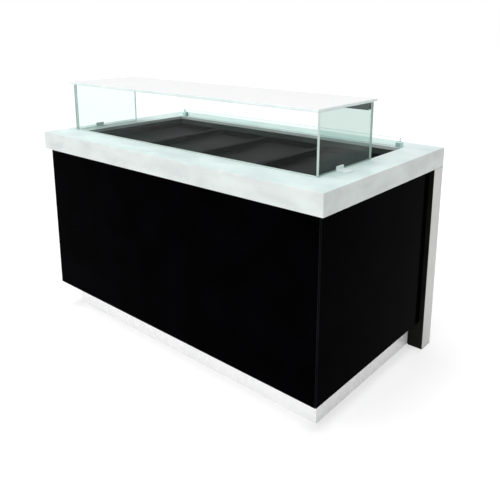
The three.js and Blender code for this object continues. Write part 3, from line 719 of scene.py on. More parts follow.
@dataclass(frozen=True)
class PaleBoard(Coat):
    """Pale laminate with soft grey mottling."""

    colour: Colour = (0.8, 0.81, 0.81)
    shade: Colour = (0.66, 0.67, 0.68)
    roughness: Pair = (0.34, 0.46)
    specular: float = 0.35
    tones: Noise = Noise(16.0, 6.0, 0.62, 0.6)
    span: Pair = (0.4, 0.72)
    relief: Noise = Noise(600.0, 2.0, 0.5)
    raised: Pair = (0.2, 0.00012)


@dataclass(frozen=True)
class Moulded(Finish):
    """Moulded plastic with a fine spark-eroded texture and slightly lighter patches."""

    colour: Colour
    roughness: Pair = (0.42, 0.55)
    texture: float = 900.0
    specular: float = 0.4
    lighter: Pair = (1.35, 0.002)
    patches: Noise = Noise(30.0, 3.0, 0.5)
    raised: Pair = (0.35, 0.00012)

    def shader(self, recipe: Recipe) -> Socket:
        """Builds the plastic."""
        texture = recipe.noise(Noise(self.texture, 3.0, 0.55))
        patches = recipe.remap(recipe.noise(self.patches), 0.35, 0.7)
        times, plus = self.lighter
        lighter = tuple(min(1.0, part * times + plus) for part in self.colour)
        return recipe.principled({
            "Base Color": recipe.blend(patches, self.colour, lighter),
            "Roughness": recipe.remap(texture, 0.3, 0.7, *self.roughness),
            "Specular IOR Level": self.specular,
            "Normal": recipe.bump(texture, *self.raised),
        })


@dataclass(frozen=True)
class PaneGlass(Finish):
    """A pane's face: a light tint, and a mirror gloss that grows towards grazing."""

    tint: Colour = (0.955, 0.985, 0.975)
    mirrored: Colour = (0.95, 1.0, 0.99)
    straight: float = 0.006
    smears: Noise = Noise(22.0, 5.0, 0.6, 0.8)
    roughness: Pair = (0.01, 0.06)

    def shader(self, recipe: Recipe) -> Socket:
        """Builds the pane's face."""
        facing = recipe.node("ShaderNodeLayerWeight", {"Blend": 0.5}).outputs["Facing"]
        share = recipe.remap(recipe.math("POWER", facing, 5.0), 0.0, 1.0, self.straight, 1.0)
        smears = recipe.remap(recipe.noise(self.smears), 0.4, 0.8, *self.roughness)
        clear = recipe.out("ShaderNodeBsdfTransparent", {"Color": self.tint})
        gloss = recipe.out("ShaderNodeBsdfGlossy", {"Color": self.mirrored, "Roughness": smears})
        return recipe.out("ShaderNodeMixShader", {0: share, 1: clear, 2: gloss})


@dataclass(frozen=True)
class GlassEdge(Coat):
    """A pane's polished edge, where the light runs along the glass and turns teal."""

    colour: Colour = (0.3, 0.47, 0.45)
    shade: Colour = (0.6, 0.76, 0.74)
    roughness: Pair = (0.08, 0.2)
    tones: Noise = Noise(1.0, 4.0, 0.6, 0.0, (14.0, 14.0, 14.0))
    span: Pair = (0.35, 0.68)


@dataclass(frozen=True)
class CoatedTop(Coat):
    """Heat-reflecting coated glass that looks pale and all but opaque."""

    name: str = "top_glass"
    colour: Colour = (0.945, 0.95, 0.948)
    shade: Colour = (0.91, 0.925, 0.92)
    roughness: Pair = (0.05, 0.1)
    specular: float = 0.6
    tones: Noise = Noise(3.0, 4.0, 0.5, 0.4)
    span: Pair = (0.3, 0.75)
    others: tuple[tuple[str, Feed], ...] = (("Alpha", 0.93),)


@dataclass(frozen=True)
class GlassCeramic(Finish):
    """Black glass-ceramic with a fine printed dot screen."""

    name: str = "deck_glass"
    colour: Colour = (0.008, 0.009, 0.011)
    dot: Colour = (0.07, 0.075, 0.08)
    pitch: float = 240.0
    smears: Noise = Noise(12.0, 4.0, 0.6)
    roughness: Pair = (0.06, 0.16)

    def shader(self, recipe: Recipe) -> Socket:
        """Builds the plate's finish."""
        feeds = {"Vector": recipe.place, "Scale": self.pitch, "Randomness": 0.0}
        dots = recipe.remap(recipe.out("ShaderNodeTexVoronoi", feeds), 0.2, 0.3, 1.0, 0.0)
        return recipe.principled({
            "Base Color": recipe.blend(dots, self.colour, self.dot),
            "Roughness": recipe.remap(recipe.noise(self.smears), 0.3, 0.7, *self.roughness),
            "Specular IOR Level": 0.5,
        })


@dataclass(frozen=True)
class FibreBoard(Coat):
    """Pressed mineral fibre."""

    name: str = "insulation"
    colour: Colour = (0.5, 0.43, 0.25)
    shade: Colour = (0.64, 0.57, 0.38)
    roughness: Pair = (0.85, 1.0)
    specular: float = 0.1
    tones: Noise = Noise(1.0, 6.0, 0.7, 1.2, (120.0, 420.0, 420.0))
    span: Pair = (0.3, 0.7)
    raised: Pair = (0.8, 0.002)


@dataclass(frozen=True)
class Opal(Coat):
    """Opal strip that spreads the light of the rail."""

    name: str = "diffuser"
    colour: Colour = (0.9, 0.89, 0.84)
    shade: Colour = (0.82, 0.81, 0.77)
    tones: Noise = Noise(1.0, 2.0, 0.5, 0.0, (20.0, 900.0, 900.0))
    span: Pair = (0.35, 0.65)
    others: tuple[tuple[str, Feed], ...] = (
        ("Subsurface Weight", 0.3),
        ("Subsurface Radius", (0.004, 0.004, 0.003)),
    )


def made_of(finish: Finish) -> Any:
    """A field that holds the material of a finish."""
    return field(default_factory=finish.make)


@dataclass
class Finishes:
    """Every finish of the counter, each made once."""

    marble: Material = made_of(Marble())
    # A lighter, cooler copy of the stone for the top faces: painted light on the worktop's top.
    marble_top: Material = made_of(Marble("worktop_top", (0.74, 0.86, 0.84), (0.64, 0.75, 0.74)))
    laminate: Material = made_of(GlossLaminate())
    # A lighter tone for the panels' upright arrises: a painted highlight.
    laminate_arris: Material = made_of(GlossLaminate(
        "panel_arris", (0.006, 0.0065, 0.008), (0.011, 0.011, 0.014)))
    leg: Material = made_of(BrushedSteel("leg_steel", (0.52, 0.52, 0.515), (0.4, 0.4, 0.395)))
    # Near black for the leg's front and the ends of its bore: painted shade.
    leg_dark: Material = made_of(SatinPaint(
        "leg_inner", (0.007, 0.007, 0.006), (0.013, 0.013, 0.011), specular=0.04))
    door: Material = made_of(BrushedSteel("door_steel", grain=(6.0, 700.0, 700.0)))
    carcass: Material = made_of(BrushedSteel(
        "carcass_steel", (0.5, 0.51, 0.52), (0.38, 0.39, 0.4), (40.0, 60.0, 60.0), (0.38, 0.55)))
    fitting: Material = made_of(BrushedSteel(
        "fitting_steel", (0.87, 0.94, 0.93), (0.77, 0.85, 0.84), (900.0, 900.0, 900.0), (0.4, 0.55), 0.2))
    clamp: Material = made_of(BrushedSteel(
        "clamp_steel", (0.6, 0.8, 0.79), (0.47, 0.67, 0.66), (900.0, 900.0, 900.0), (0.3, 0.42), 0.5))
    track: Material = made_of(BrushedSteel(
        "track_aluminium", (0.6, 0.61, 0.62), (0.48, 0.49, 0.5), (5.0, 600.0, 600.0), (0.32, 0.45)))
    rail: Material = made_of(SatinPaint("rail_paint", (0.085, 0.092, 0.088), (0.12, 0.128, 0.12)))
    board: Material = made_of(PaleBoard("cabinet_board", tones=Noise(5.0, 6.0, 0.62, 0.6)))
    plinth: Material = made_of(PaleBoard(
        "plinth_board", (0.97, 0.97, 0.97), (0.9, 0.905, 0.91), (0.22, 0.32), 0.9))
    well: Material = made_of(SatinPaint(
        "well_coating", (0.06, 0.075, 0.068), (0.1, 0.12, 0.11), specular=0.1))
    enamel: Material = made_of(SatinPaint(
        "tray_enamel", (0.008, 0.009, 0.009), (0.015, 0.016, 0.016), (0.3, 0.42), 0.008,
        relief=Noise(60.0, 3.0, 0.5), raised=(0.3, 0.0003)))
    deck: Material = made_of(GlassCeramic())
    mat: Material = made_of(Moulded("heater_mat", (0.33, 0.07, 0.035)))
    fibre: Material = made_of(FibreBoard())
    pane: Material = made_of(PaneGlass("clear_glass"))
    end_pane: Material = made_of(PaneGlass("end_glass", (0.76, 0.83, 0.81)))
    pane_edge: Material = made_of(GlassEdge("clear_glass_edge"))
    # A lighter copy of the edge for the right pane: painted light that comes through the glass.
    end_edge: Material = made_of(GlassEdge("end_glass_edge", (0.66, 0.8, 0.76), (0.84, 0.93, 0.9)))
    front_edge: Material = made_of(GlassEdge("front_glass_edge", (0.7, 0.8, 0.76), (0.88, 0.94, 0.9)))
    top: Material = made_of(CoatedTop())
    # A lighter copy of the edge for the top plate: painted light on its edges.
    top_edge: Material = made_of(GlassEdge("top_glass_edge", (0.72, 0.84, 0.82), (0.88, 0.94, 0.93)))
    bead: Material = made_of(Moulded("silicone_bead", (0.72, 0.78, 0.76), (0.25, 0.4), 300.0))
    opal: Material = made_of(Opal())
    black: Material = made_of(Moulded("control_plastic", (0.014, 0.015, 0.017)))
    red: Material = made_of(Moulded("red_plastic", (0.45, 0.028, 0.014), (0.2, 0.32), 500.0))
    mark: Material = made_of(Moulded("printed_mark", (0.75, 0.75, 0.73), (0.5, 0.6), 400.0))


class CopyTree(Wiring):
    """A Geometry Nodes tree that repeats one small part; each kind says where the copies go."""

    def __init__(self, name: str, **inputs: str) -> None:
        """Starts a tree.

        Args:
            name: The tree's name.
            inputs: The kind of socket for each input's name, after those that every tree has.
        """
        super().__init__(bpy.data.node_groups.new(name, "GeometryNodeTree"))
        face = self.tree.interface
        face.new_socket(name="Geometry", in_out="INPUT", socket_type="NodeSocketGeometry")
        common = {"Part": "Object", "Count": "Int", "Finish": "Material"}
        self.ids = {
            label: face.new_socket(name=label, in_out="INPUT", socket_type=f"NodeSocket{kind}").identifier
            for label, kind in {**common, **inputs}.items()
        }
        face.new_socket(name="Geometry", in_out="OUTPUT", socket_type="NodeSocketGeometry")
        self.given = self.node("NodeGroupInput").outputs

    def copies(self, points: Socket, turn: Socket) -> Socket:
        """Sets a copy of the part on every point.

        Args:
            points: The points.
            turn: The rotation of each copy.

        Returns:
            The copies, still as instances.
        """
        part = self.node("GeometryNodeObjectInfo", {"Object": self.given["Part"]}).outputs["Geometry"]
        feeds = {"Points": points, "Instance": part, "Rotation": turn}
        return self.out("GeometryNodeInstanceOnPoints", feeds)

    def end(self, copies: Socket) -> None:
        """Makes the copies real, gives them their finish and ends the tree.

        Args:
            copies: The copies, as instances or real.
        """
        real = self.out("GeometryNodeRealizeInstances", {"Geometry": copies})
        dressed = self.out("GeometryNodeSetMaterial", {"Geometry": real, "Material": self.given["Finish"]})
        self.node("NodeGroupOutput", {0: dressed})

    def run(self, name: str, part: Form, finish: Material, **values: Any) -> Object:
        """Repeats a part and returns the copies as one plain mesh object.

        Args:
            name: The name of the finished piece.
            part: The small part, about the origin.
            finish: Its finish.
            values: A value for each of the tree's inputs.

        Returns:
            The object, at the origin and without its modifier.
        """
        single = part.finish(f"{name}_single", [finish])
        carrier = stand(f"{name}_carrier", bpy.data.meshes.new(f"{name}_carrier"))
        modifier = carrier.modifiers.new("copies", "NODES")
        modifier.node_group = self.tree
        for label, value in {"Part": single, "Finish": finish, **values}.items():
            modifier[self.ids[label]] = value
        mesh = bpy.data.meshes.new_from_object(carrier.evaluated_get(bpy.context.evaluated_depsgraph_get()))
        mesh.name = name
        for spent in (carrier, single):
            bpy.data.objects.remove(spent)
        return stand(name, mesh)


class RowTree(CopyTree):
    """Copies in a straight row, each turned a little about its own axis."""

    def __init__(self) -> None:
        """Builds the tree."""
        super().__init__(
            "row_of_parts", Start="Vector", Step="Vector", Turn="Vector", Spin="Float", Seed="Int"
        )
        line = self.out("GeometryNodeMeshLine", {
            "Count": self.given["Count"], "Start Location": self.given["Start"], "Offset": self.given["Step"],
        }, mode="OFFSET")
        copies = self.copies(line, self.given["Turn"])
        spin = {"Max": self.given["Spin"], "Seed": self.given["Seed"]}
        loose = self.node("FunctionNodeRandomValue", spin, data_type="FLOAT").outputs["Value"]
        turn = self.out("ShaderNodeCombineXYZ", {"Z": loose})
        self.end(self.out("GeometryNodeRotateInstances", {"Instances": copies, "Rotation": turn}))


class RingTree(CopyTree):
    """Copies round a ring, each turned to face outwards, and the ring put in its place."""

    def __init__(self) -> None:
        """Builds the tree."""
        super().__init__(
            "ring_of_parts", Radius="Float", First="Float", Pitch="Float", Place="Vector", Turn="Vector"
        )
        index = self.out("GeometryNodeInputIndex")
        angle = self.math("ADD", self.math("MULTIPLY", index, self.given["Pitch"]), self.given["First"])
        arm = self.out("ShaderNodeCombineXYZ", {"X": self.given["Radius"]})
        spoke = self.out("ShaderNodeVectorRotate", {"Vector": arm, "Angle": angle}, rotation_type="Z_AXIS")
        dots = self.out("GeometryNodePoints", {"Count": self.given["Count"], "Position": spoke})
        copies = self.copies(dots, self.out("ShaderNodeCombineXYZ", {"Z": angle}))
        real = self.out("GeometryNodeRealizeInstances", {"Geometry": copies})
        self.end(self.out("GeometryNodeTransform", {
            "Geometry": real, "Translation": self.given["Place"], "Rotation": self.given["Turn"],
        }))


@dataclass
class Bench:
    """What every sub-assembly works with: the frame's nodes, their slots, the finishes and the trees."""

    nodes: dict[str, Object]
    slots: dict[str, str]
    finishes: Finishes = field(default_factory=Finishes)
    row: RowTree = field(default_factory=RowTree)
    ring: RingTree = field(default_factory=RingTree)
    made: list[str] = field(default_factory=list)
    screw_rows: int = 0

    def piece(
        self,
        form: Form | Object,
        name: str,
        *materials: Material,
        stands_for: str = "",
        like: str = "",
        body: str = "counter",
        limit: float = 40,
    ) -> None:
        """Finishes a form, hides the node that it stands for and hangs it on the body that it rides on.

        Args:
            form: The form, or an object that is whole already.
            name: The piece's name.
            materials: The finishes, by number.
            stands_for: The node that the piece replaces.
            like: A node whose material slot a new piece would share; not used.
            body: The body that the piece rides on.
            limit: The angle past which an edge shades sharp.
        """
        made = form.finish(name, materials, limit) if isinstance(form, Form) else form
        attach(made, body)
        if stands_for:
            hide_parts(stands_for)
        self.made.append(name)

    def copy(self, node: str) -> Form:
        """A merged copy of a node."""
        return Form.copied(self.nodes[node])

    def eased(
        self, node: str, name: str, finish: Material, width: float, segments: int = 2, body: str = "counter"
    ) -> None:
        """Makes a piece of a node's copy, with its edges eased.

        Args:
            node: The node that the piece replaces.
            name: The piece's name.
            finish: Its finish.
            width: How far the easing reaches.
            segments: The number of facets in it.
            body: The body that the piece rides on.
        """
        self.piece(self.copy(node).ease(width, segments), name, finish, stands_for=node, body=body)


@dataclass(frozen=True)
class ScrewHead:
    """A button head with a hexagon socket, standing on the level of zero."""

    radius: float = 3.6
    height: float = 1.7
    steps: int = 24

    def form(self) -> Form:
        """Builds the head.

        Returns:
            The head, with its axis up.
        """
        radius, height, socket = self.radius, self.height, self.radius * 0.4
        dome = ((1, 0), (1, 0.25), (0.86, 0.7), (0.62, 1))
        rings = [circle(radius * reach, height * level, self.steps) for reach, level in dome]
        rings += [circle(socket, height, self.steps, 6), circle(socket * 0.92, height * 0.35, self.steps, 6)]
        return Form().loft(rings)


@dataclass
class Assembly:
    """The base of every sub-assembly, with the bench that all share."""

    bench: Bench
    head: ScrewHead = ScrewHead()

    @property
    def finishes(self) -> Finishes:
        """The finishes of the counter."""
        return self.bench.finishes

    def build(self) -> None:
        """Builds the sub-assembly's pieces."""
        raise NotImplementedError

    def screws(
        self,
        name: str,
        start: Point,
        reach: Point,
        count: int,
        facing: Facing,
        like: str,
        head: ScrewHead | None = None,
    ) -> None:
        """Sets one row of screws, each with its socket turned at random.

        Args:
            name: The name of the piece.
            start: The first head's seat.
            reach: The way from the first screw to the last.
            count: The number of screws.
            facing: The way the heads look.
            like: A node whose material slot the screws would share; passed to the bench, which does not use
                it.
            head: Their head, or the sub-assembly's usual one.
        """
        self.bench.screw_rows += 1
        step = (part / (count - 1) for part in reach)
        made = self.bench.row.run(
            name, (head or self.head).form(), self.finishes.fitting, Count=count, Start=metres(*start),
            Step=metres(*step), Turn=facing.value, Spin=math.pi / 3, Seed=self.bench.screw_rows,
        )
        self.bench.piece(made, name, like=like)


@dataclass
class Worktop(Assembly):
    """The stone worktop: one bonded body of slab and drop edge, and the channel frame under it."""

    slab: float = 15.0
    apron: float = 15.0
    corner: float = 3.0
    arris: float = 1.5
    foot_arris: float = 0.4
    end_margin: float = 130.0
    front_margin: float = 150.0
    rear_margin: float = 130.0
    opening_corner: float = 10.0
    frame_edge: float = 0.6
    frame_sheet: float = 2.1
    screw_margin: Pair = (120.0, 16.0)
    screw_count: int = 8

    def opening(self) -> Rect:
        """The opening for the heated well.

        Returns:
            Its plan.
        """
        outer = Extent.of("worktop")
        return Rect(outer.left + self.end_margin, outer.right - self.end_margin,
                    outer.front + self.front_margin, outer.rear - self.rear_margin)

    def build(self) -> None:
        """Builds the stone and the frame."""
        box = Extent.of("worktop")
        opening = self.opening()
        inner = box.grow(-self.apron)
        under = box.top - self.slab
        fold = quarter(self.arris)
        rings = [
            contour(box.grow(-self.foot_arris), self.corner, box.bottom),
            contour(box, self.corner, box.bottom + self.foot_arris),
            *rounding(box, self.corner, box.top, fold, taper=0),
            *rounding(opening, self.opening_corner, box.top, reversed(fold), spread=1, taper=0),
            contour(opening, self.opening_corner, under),
            contour(inner, self.corner, under),
            contour(inner, self.corner, box.bottom),
        ]
        # The top faces take the lighter copy of the stone, which is painted light.
        stone = Form().loft(rings, closed=True).paint(lambda normal, _: 1 if normal.z > ALONG else 0)
        self.bench.piece(stone, "worktop_slab", self.finishes.marble, self.finishes.marble_top,
                         stands_for="worktop")
        self.bench.eased("top_frame", "top_frame_channel", self.finishes.carcass, self.frame_edge, 3)
        frame = Extent.of("top_frame")
        across, along = self.screw_margin
        start = (frame.left + across, frame.front + along, frame.bottom + self.frame_sheet)
        self.screws("top_frame_screws", start, (frame.width - 2 * across, 0, 0), self.screw_count,
                    Facing.UP, "top_frame")


@dataclass
class RearLegs(Assembly):
    """Square tube legs: brushed all round but for the front, which is painted shade, with a foot plate."""

    corner: float = 4.0
    wall: float = 3.0
    edge: float = 0.5
    foot_edge: float = 1.0
    foot_thickness: float = 4.0
    plug_play: float = 0.3
    plug_taper: Pair = (1.5, 2.0)

    def build(self) -> None:
        """Builds both legs with their feet."""
        for side in Side:
            self.leg(side)

    def leg(self, side: Side) -> None:
        """Builds the tube on one side, and the foot that is plugged into it.

        Args:
            side: The side.
        """
        box = Extent.of(f"rear_leg_{side.word}")
        bore = box.grow(-self.wall)
        tight = self.corner / 2
        tube = [
            contour(bore, tight, box.top - self.wall), contour(bore, tight, box.bottom),
            contour(box.grow(-self.edge), self.corner, box.bottom),
            contour(box, self.corner, box.bottom + self.edge), contour(box, self.corner, box.top - self.edge),
            contour(box.grow(-self.edge), self.corner, box.top),
        ]

        def finish_of(normal: Vector, centre: Vector) -> int:
            """Painted shade for the faces that look to the customer or close the bore."""
            closing = bore.front < centre.y < bore.rear and abs(normal.z) > 0.5
            return 1 if normal.y < -0.5 or closing else 0

        self.bench.piece(Form().loft(tube).paint(finish_of), f"leg_tube_{side.word}", self.finishes.leg,
                         self.finishes.leg_dark, stands_for=f"rear_leg_{side.word}")
        plate = Extent.of(f"leg_foot_{side.word}")
        plug = bore.grow(-self.plug_play)
        edge, thick = self.foot_edge, self.foot_thickness
        inset, drop = self.plug_taper
        foot = [
            contour(plate.grow(-edge), self.corner, 0.0), contour(plate, self.corner, edge),
            contour(plate, self.corner, thick - edge / 2), contour(plate.grow(-edge / 2), self.corner, thick),
            contour(plug, tight, thick), contour(plug, tight, plate.top - drop),
            contour(plug.grow(-inset), tight, plate.top),
        ]
        self.bench.piece(Form().loft(foot), f"leg_foot_plug_{side.word}", self.finishes.black,
                         stands_for=f"leg_foot_{side.word}")


@dataclass
class Cladding(Assembly):
    """Gloss black panels, mitred at the two front corners and pale on the cabinet's side."""

    edge: float = 1.6

    def build(self) -> None:
        """Builds the three panels with eased edges, with a painted highlight along the upright ones."""
        inwards = {"front_panel": (0, 1, 0), "left_side_panel": (1, 0, 0), "right_side_panel": (-1, 0, 0)}
        for node, within in inwards.items():
            self.panel(node, Vector(within))

    def panel(self, node: str, within: Vector) -> None:
        """Builds one panel.

        Args:
            node: The panel's node.
            within: The direction of the cabinet, seen from the panel.
        """

        def finish_of(normal: Vector, _: Vector) -> int:
            """Bare board within, a painted highlight on the upright arrises, gloss black elsewhere."""
            if normal.dot(within) > ALONG:
                return 2
            return 1 if abs(normal.z) < 0.1 and min(abs(normal.x), abs(normal.y)) > 0.1 else 0

        form = self.bench.copy(node).ease(self.edge).paint(finish_of)
        self.bench.piece(form, f"{node}_cladding", self.finishes.laminate, self.finishes.laminate_arris,
                         self.finishes.board, stands_for=node)


@dataclass
class Cabinet(Assembly):
    """The storage cabinet: base board, divider and two folded shelves."""

    edge: float = 0.5
    fold: float = 0.7
    shelf_sheet: float = 1.5
    screw_margin: float = 90.0
    screw_height: float = 16.0
    screw_count: int = 4

    def build(self) -> None:
        """Builds the boards and the shelves."""
        for node in ("base_board", "centre_divider"):
            self.bench.eased(node, f"{node}_panel", self.finishes.board, self.edge)
        for side in Side:
            node = f"shelf_{side.word}"
            self.bench.eased(node, f"{node}_sheet", self.finishes.carcass, self.fold, 3)
            box = Extent.of(node)
            inner = (box.left if side is Side.RIGHT else box.right) + side.value * self.shelf_sheet
            start = (inner, box.front + self.screw_margin, box.bottom + self.screw_height)
            self.screws(f"{node}_screws", start, (0, box.depth - 2 * self.screw_margin, 0), self.screw_count,
                        side.outwards, node)


@dataclass
class Plinth(Assembly):
    """Pale plinth boards and the adjustable feet inside them."""

    board_corner: float = 1.2
    board_edge: float = 0.8
    disc: float = 30.0
    disc_edge: float = 1.5
    stem: float = 9.0
    thread: float = 1.1
    thread_ends: Pair = (9.0, 46.0)
    pitch: float = 2.5
    socket: float = 21.0
    socket_level: float = 50.0
    flange: float = 38.0
    flange_edge: float = 1.0
    rib: Extent = Extent(-1.6, 1.6, -0.9, 0.9, 0.0, 56.0)
    rib_count: int = 12
    rib_drop: float = 66.0

    def build(self) -> None:
        """Builds the boards and the feet."""
        for node in ("front_plinth", "rear_plinth", "left_plinth", "right_plinth"):
            form = Form().board(Extent.of(node), self.board_corner, self.board_edge)
            self.bench.piece(form, f"{node}_board", self.finishes.plinth, stands_for=node)
        for side in Side:
            for row in ("front", "rear"):
                self.foot(f"{row}_foot_{side.word}")

    def foot(self, node: str) -> None:
        """Builds one adjustable foot with its threaded stem and ribbed socket.

        Args:
            node: The node that it stands for.
        """
        box = Extent.of(node)
        across, along, _ = box.middle
        disc, edge, stem, rim = self.disc, self.disc_edge, self.stem, self.flange_edge
        profile = [(disc - edge, 0.0), (disc, edge), (disc, 4.0), (disc - 3, 5.2)]
        profile += [(stem + 4, 6.6), (stem + 1, 8.0)]
        level, end = self.thread_ends
        while level < end:
            profile += [(stem - self.thread, level), (stem, level + self.pitch / 2)]
            level += self.pitch
        profile += [
            (stem - 0.6, self.socket_level), (self.socket - 1, self.socket_level),
            (self.socket, self.socket_level + 1), (self.socket + 4.3, box.top - 9),
            (self.flange - rim, box.top - 7 - rim), (self.flange, box.top - 7),
            (self.flange, box.top - rim), (self.flange - rim, box.top),
        ]
        form = Form().turned(profile, moved(across, along))
        self.bench.piece(form, f"{node}_leveller", self.finishes.black, stands_for=node, limit=55)
        ribs = self.bench.ring.run(
            f"{node}_ribs", Form().board(self.rib, 0.4, 0.4, 2), self.finishes.black, Count=self.rib_count,
            Radius=(self.socket + self.rib.right) * METRES, Pitch=2 * math.pi / self.rib_count,
            Place=metres(across, along, box.top - self.rib_drop),
        )
        self.bench.piece(ribs, f"{node}_ribs", like=node)


@dataclass
class HeatedWell(Assembly):
    """The drop-in well: pressed tub, glass deck, heating mats, insulation and casing."""

    reveal: float = 2.0
    corner: float = 10.0
    lip: float = 1.2
    tub_sheet: float = 1.5
    tub_bend: float = 8.0
    casing_gap: float = 21.5
    casing_sheet: float = 1.2
    casing_bend: float = 2.4
    slab_edge: float = 2.0
    plate_corner: float = 12.0
    plate_edge: float = 1.2
    mat_edge: float = 0.6
    track_rise: float = 0.9
    track_width: float = 2.6
    track_margin: Pair = (30.0, 25.0)
    track_count: int = 14
    seal_rise: float = 0.25

    def pan(self, mouth: Rect, box: Extent, sheet: float, bend: float) -> Form:
        """A pan pressed from sheet with a flat flange.

        Args:
            mouth: The inside of the pan at its flange.
            box: The pan's box, whose plan is the flange's rim.
            sheet: The thickness of the sheet.
            bend: The radius at the floor.

        Returns:
            The pan.
        """
        corner, lip, under = self.corner, self.lip, box.top - sheet
        fold = quarter(bend, 5)
        taper = (corner - max(corner - bend, sheet)) / bend
        return Form().loft([
            *rounding(mouth.grow(sheet), corner, box.bottom, reversed(fold), rise=1, taper=taper),
            contour(mouth.grow(sheet), corner + sheet, under - lip),
            contour(mouth.grow(sheet + lip), corner + sheet, under),
            contour(box, corner, under), contour(box, corner, box.top),
            contour(mouth.grow(lip), corner, box.top), contour(mouth, corner, box.top - lip),
            *rounding(mouth, corner, box.bottom + sheet, fold, rise=1, taper=taper),
        ])

    def build(self) -> None:
        """Builds the well from the tub outwards."""
        opening = Worktop(self.bench).opening()
        mouth = opening.grow(self.reveal)
        tub = self.pan(mouth, Extent.of("well_tub"), self.tub_sheet, self.tub_bend)
        self.bench.piece(tub, "well_tub_pressing", self.finishes.well, stands_for="well_tub")
        casing = self.pan(mouth.grow(self.casing_gap), Extent.of("well_casing"), self.casing_sheet,
                          self.casing_bend)
        self.bench.piece(casing, "well_casing_pressing", self.finishes.carcass, stands_for="well_casing")
        slab = Form().board(Extent.of("insulation_board"), self.corner, self.slab_edge)
        self.bench.piece(slab, "insulation_slab", self.finishes.fibre, stands_for="insulation_board")
        for side in Side:
            self.zone(side.word)
        self.seal(mouth, opening)

    def zone(self, word: str) -> None:
        """Builds the glass plate, the heating mat and its tracks on one side.

        Args:
            word: The side's name.
        """
        plate = Form().board(Extent.of(f"deck_plate_{word}"), self.plate_corner, self.plate_edge, 4)
        self.bench.piece(plate, f"deck_glass_{word}", self.finishes.deck, stands_for=f"deck_plate_{word}")
        box = Extent.of(f"heater_mat_{word}")
        thin = replace(box, bottom=box.bottom + self.track_rise)
        self.bench.piece(Form().board(thin, self.plate_corner, self.mat_edge), f"heater_sheet_{word}",
                         self.finishes.mat, stands_for=f"heater_mat_{word}")
        across, along = self.track_margin
        half = self.track_width / 2
        track = Extent(-half, half, box.front + along, box.rear - along, -self.track_rise, 0.3)
        tracks = self.bench.row.run(
            f"heater_tracks_{word}", Form().board(track, 1.2, self.mat_edge, 2), self.finishes.mat,
            Count=self.track_count, Start=metres(box.left + across, 0, thin.bottom),
            Step=metres((box.width - 2 * across) / (self.track_count - 1), 0, 0),
        )
        self.bench.piece(tracks, f"heater_tracks_{word}", like=f"heater_mat_{word}")

    def seal(self, mouth: Rect, opening: Rect) -> None:
        """Runs the bead that closes the joint between stone and tub.

        Args:
            mouth: The inside of the tub at its flange.
            opening: The opening in the stone.
        """
        top = Extent.of("well_tub").top + self.seal_rise
        outline = (
            (mouth, -0.05, 0), (mouth, -0.05, 3), (mouth, -1.1, 1.6),
            (opening, 0.05, 0.6), (opening, 0.05, 0),
        )
        rings = [contour(rect.grow(gap), self.corner, top - drop) for rect, gap, drop in outline]
        self.bench.piece(Form().loft(rings, closed=True), "well_seal_bead", self.finishes.black,
                         like="terminal_box")


@dataclass
class DisplayTrays(Assembly):
    """Four lift-out trays of enamelled sheet with a turned-down rim."""

    count: int = 4
    rim: float = 11.0
    sheet: float = 1.0
    lip: float = 3.0
    draft: float = 4.0
    corner: float = 22.0
    bend: float = 6.0
    roll: float = 1.4
    steps: int = 12

    def build(self) -> None:
        """Builds every tray."""
        for number in range(1, self.count + 1):
            node = f"display_tray_{number}"
            self.bench.piece(self.tray(Extent.of(node)), f"serving_tray_{number}", self.finishes.enamel,
                             stands_for=node, body=f"tray_{number}")

    def tray(self, box: Extent) -> Form:
        """Presses one tray.

        Args:
            box: The box that it fills.

        Returns:
            The tray.
        """
        sheet, corner, steps = self.sheet, self.corner, self.steps
        mouth = box.grow(-self.rim)
        foot = mouth.grow(-self.draft)
        fold = quarter(self.bend, 5)
        roll = quarter(self.roll, 3)
        under = box.top - sheet
        walls = (
            (mouth.grow(sheet), corner + sheet, under - 1), (mouth.grow(sheet + 1), corner + sheet, under),
            (box.grow(-sheet - 0.4), corner, under), (box.grow(-sheet), corner, under - 0.4),
            (box.grow(-sheet), corner, box.top - self.lip), (box, corner + sheet, box.top - self.lip),
        )
        return Form().loft([
            *rounding(foot.grow(sheet), corner, box.bottom, reversed(fold), rise=1, steps=steps),
            *(contour(*wall, steps) for wall in walls),
            *rounding(box, corner + sheet, box.top, roll, taper=0, steps=steps),
            *rounding(mouth, corner, box.top, reversed(roll), spread=1, steps=steps),
            *rounding(foot, corner, box.bottom + sheet, fold, rise=1, steps=steps),
        ])


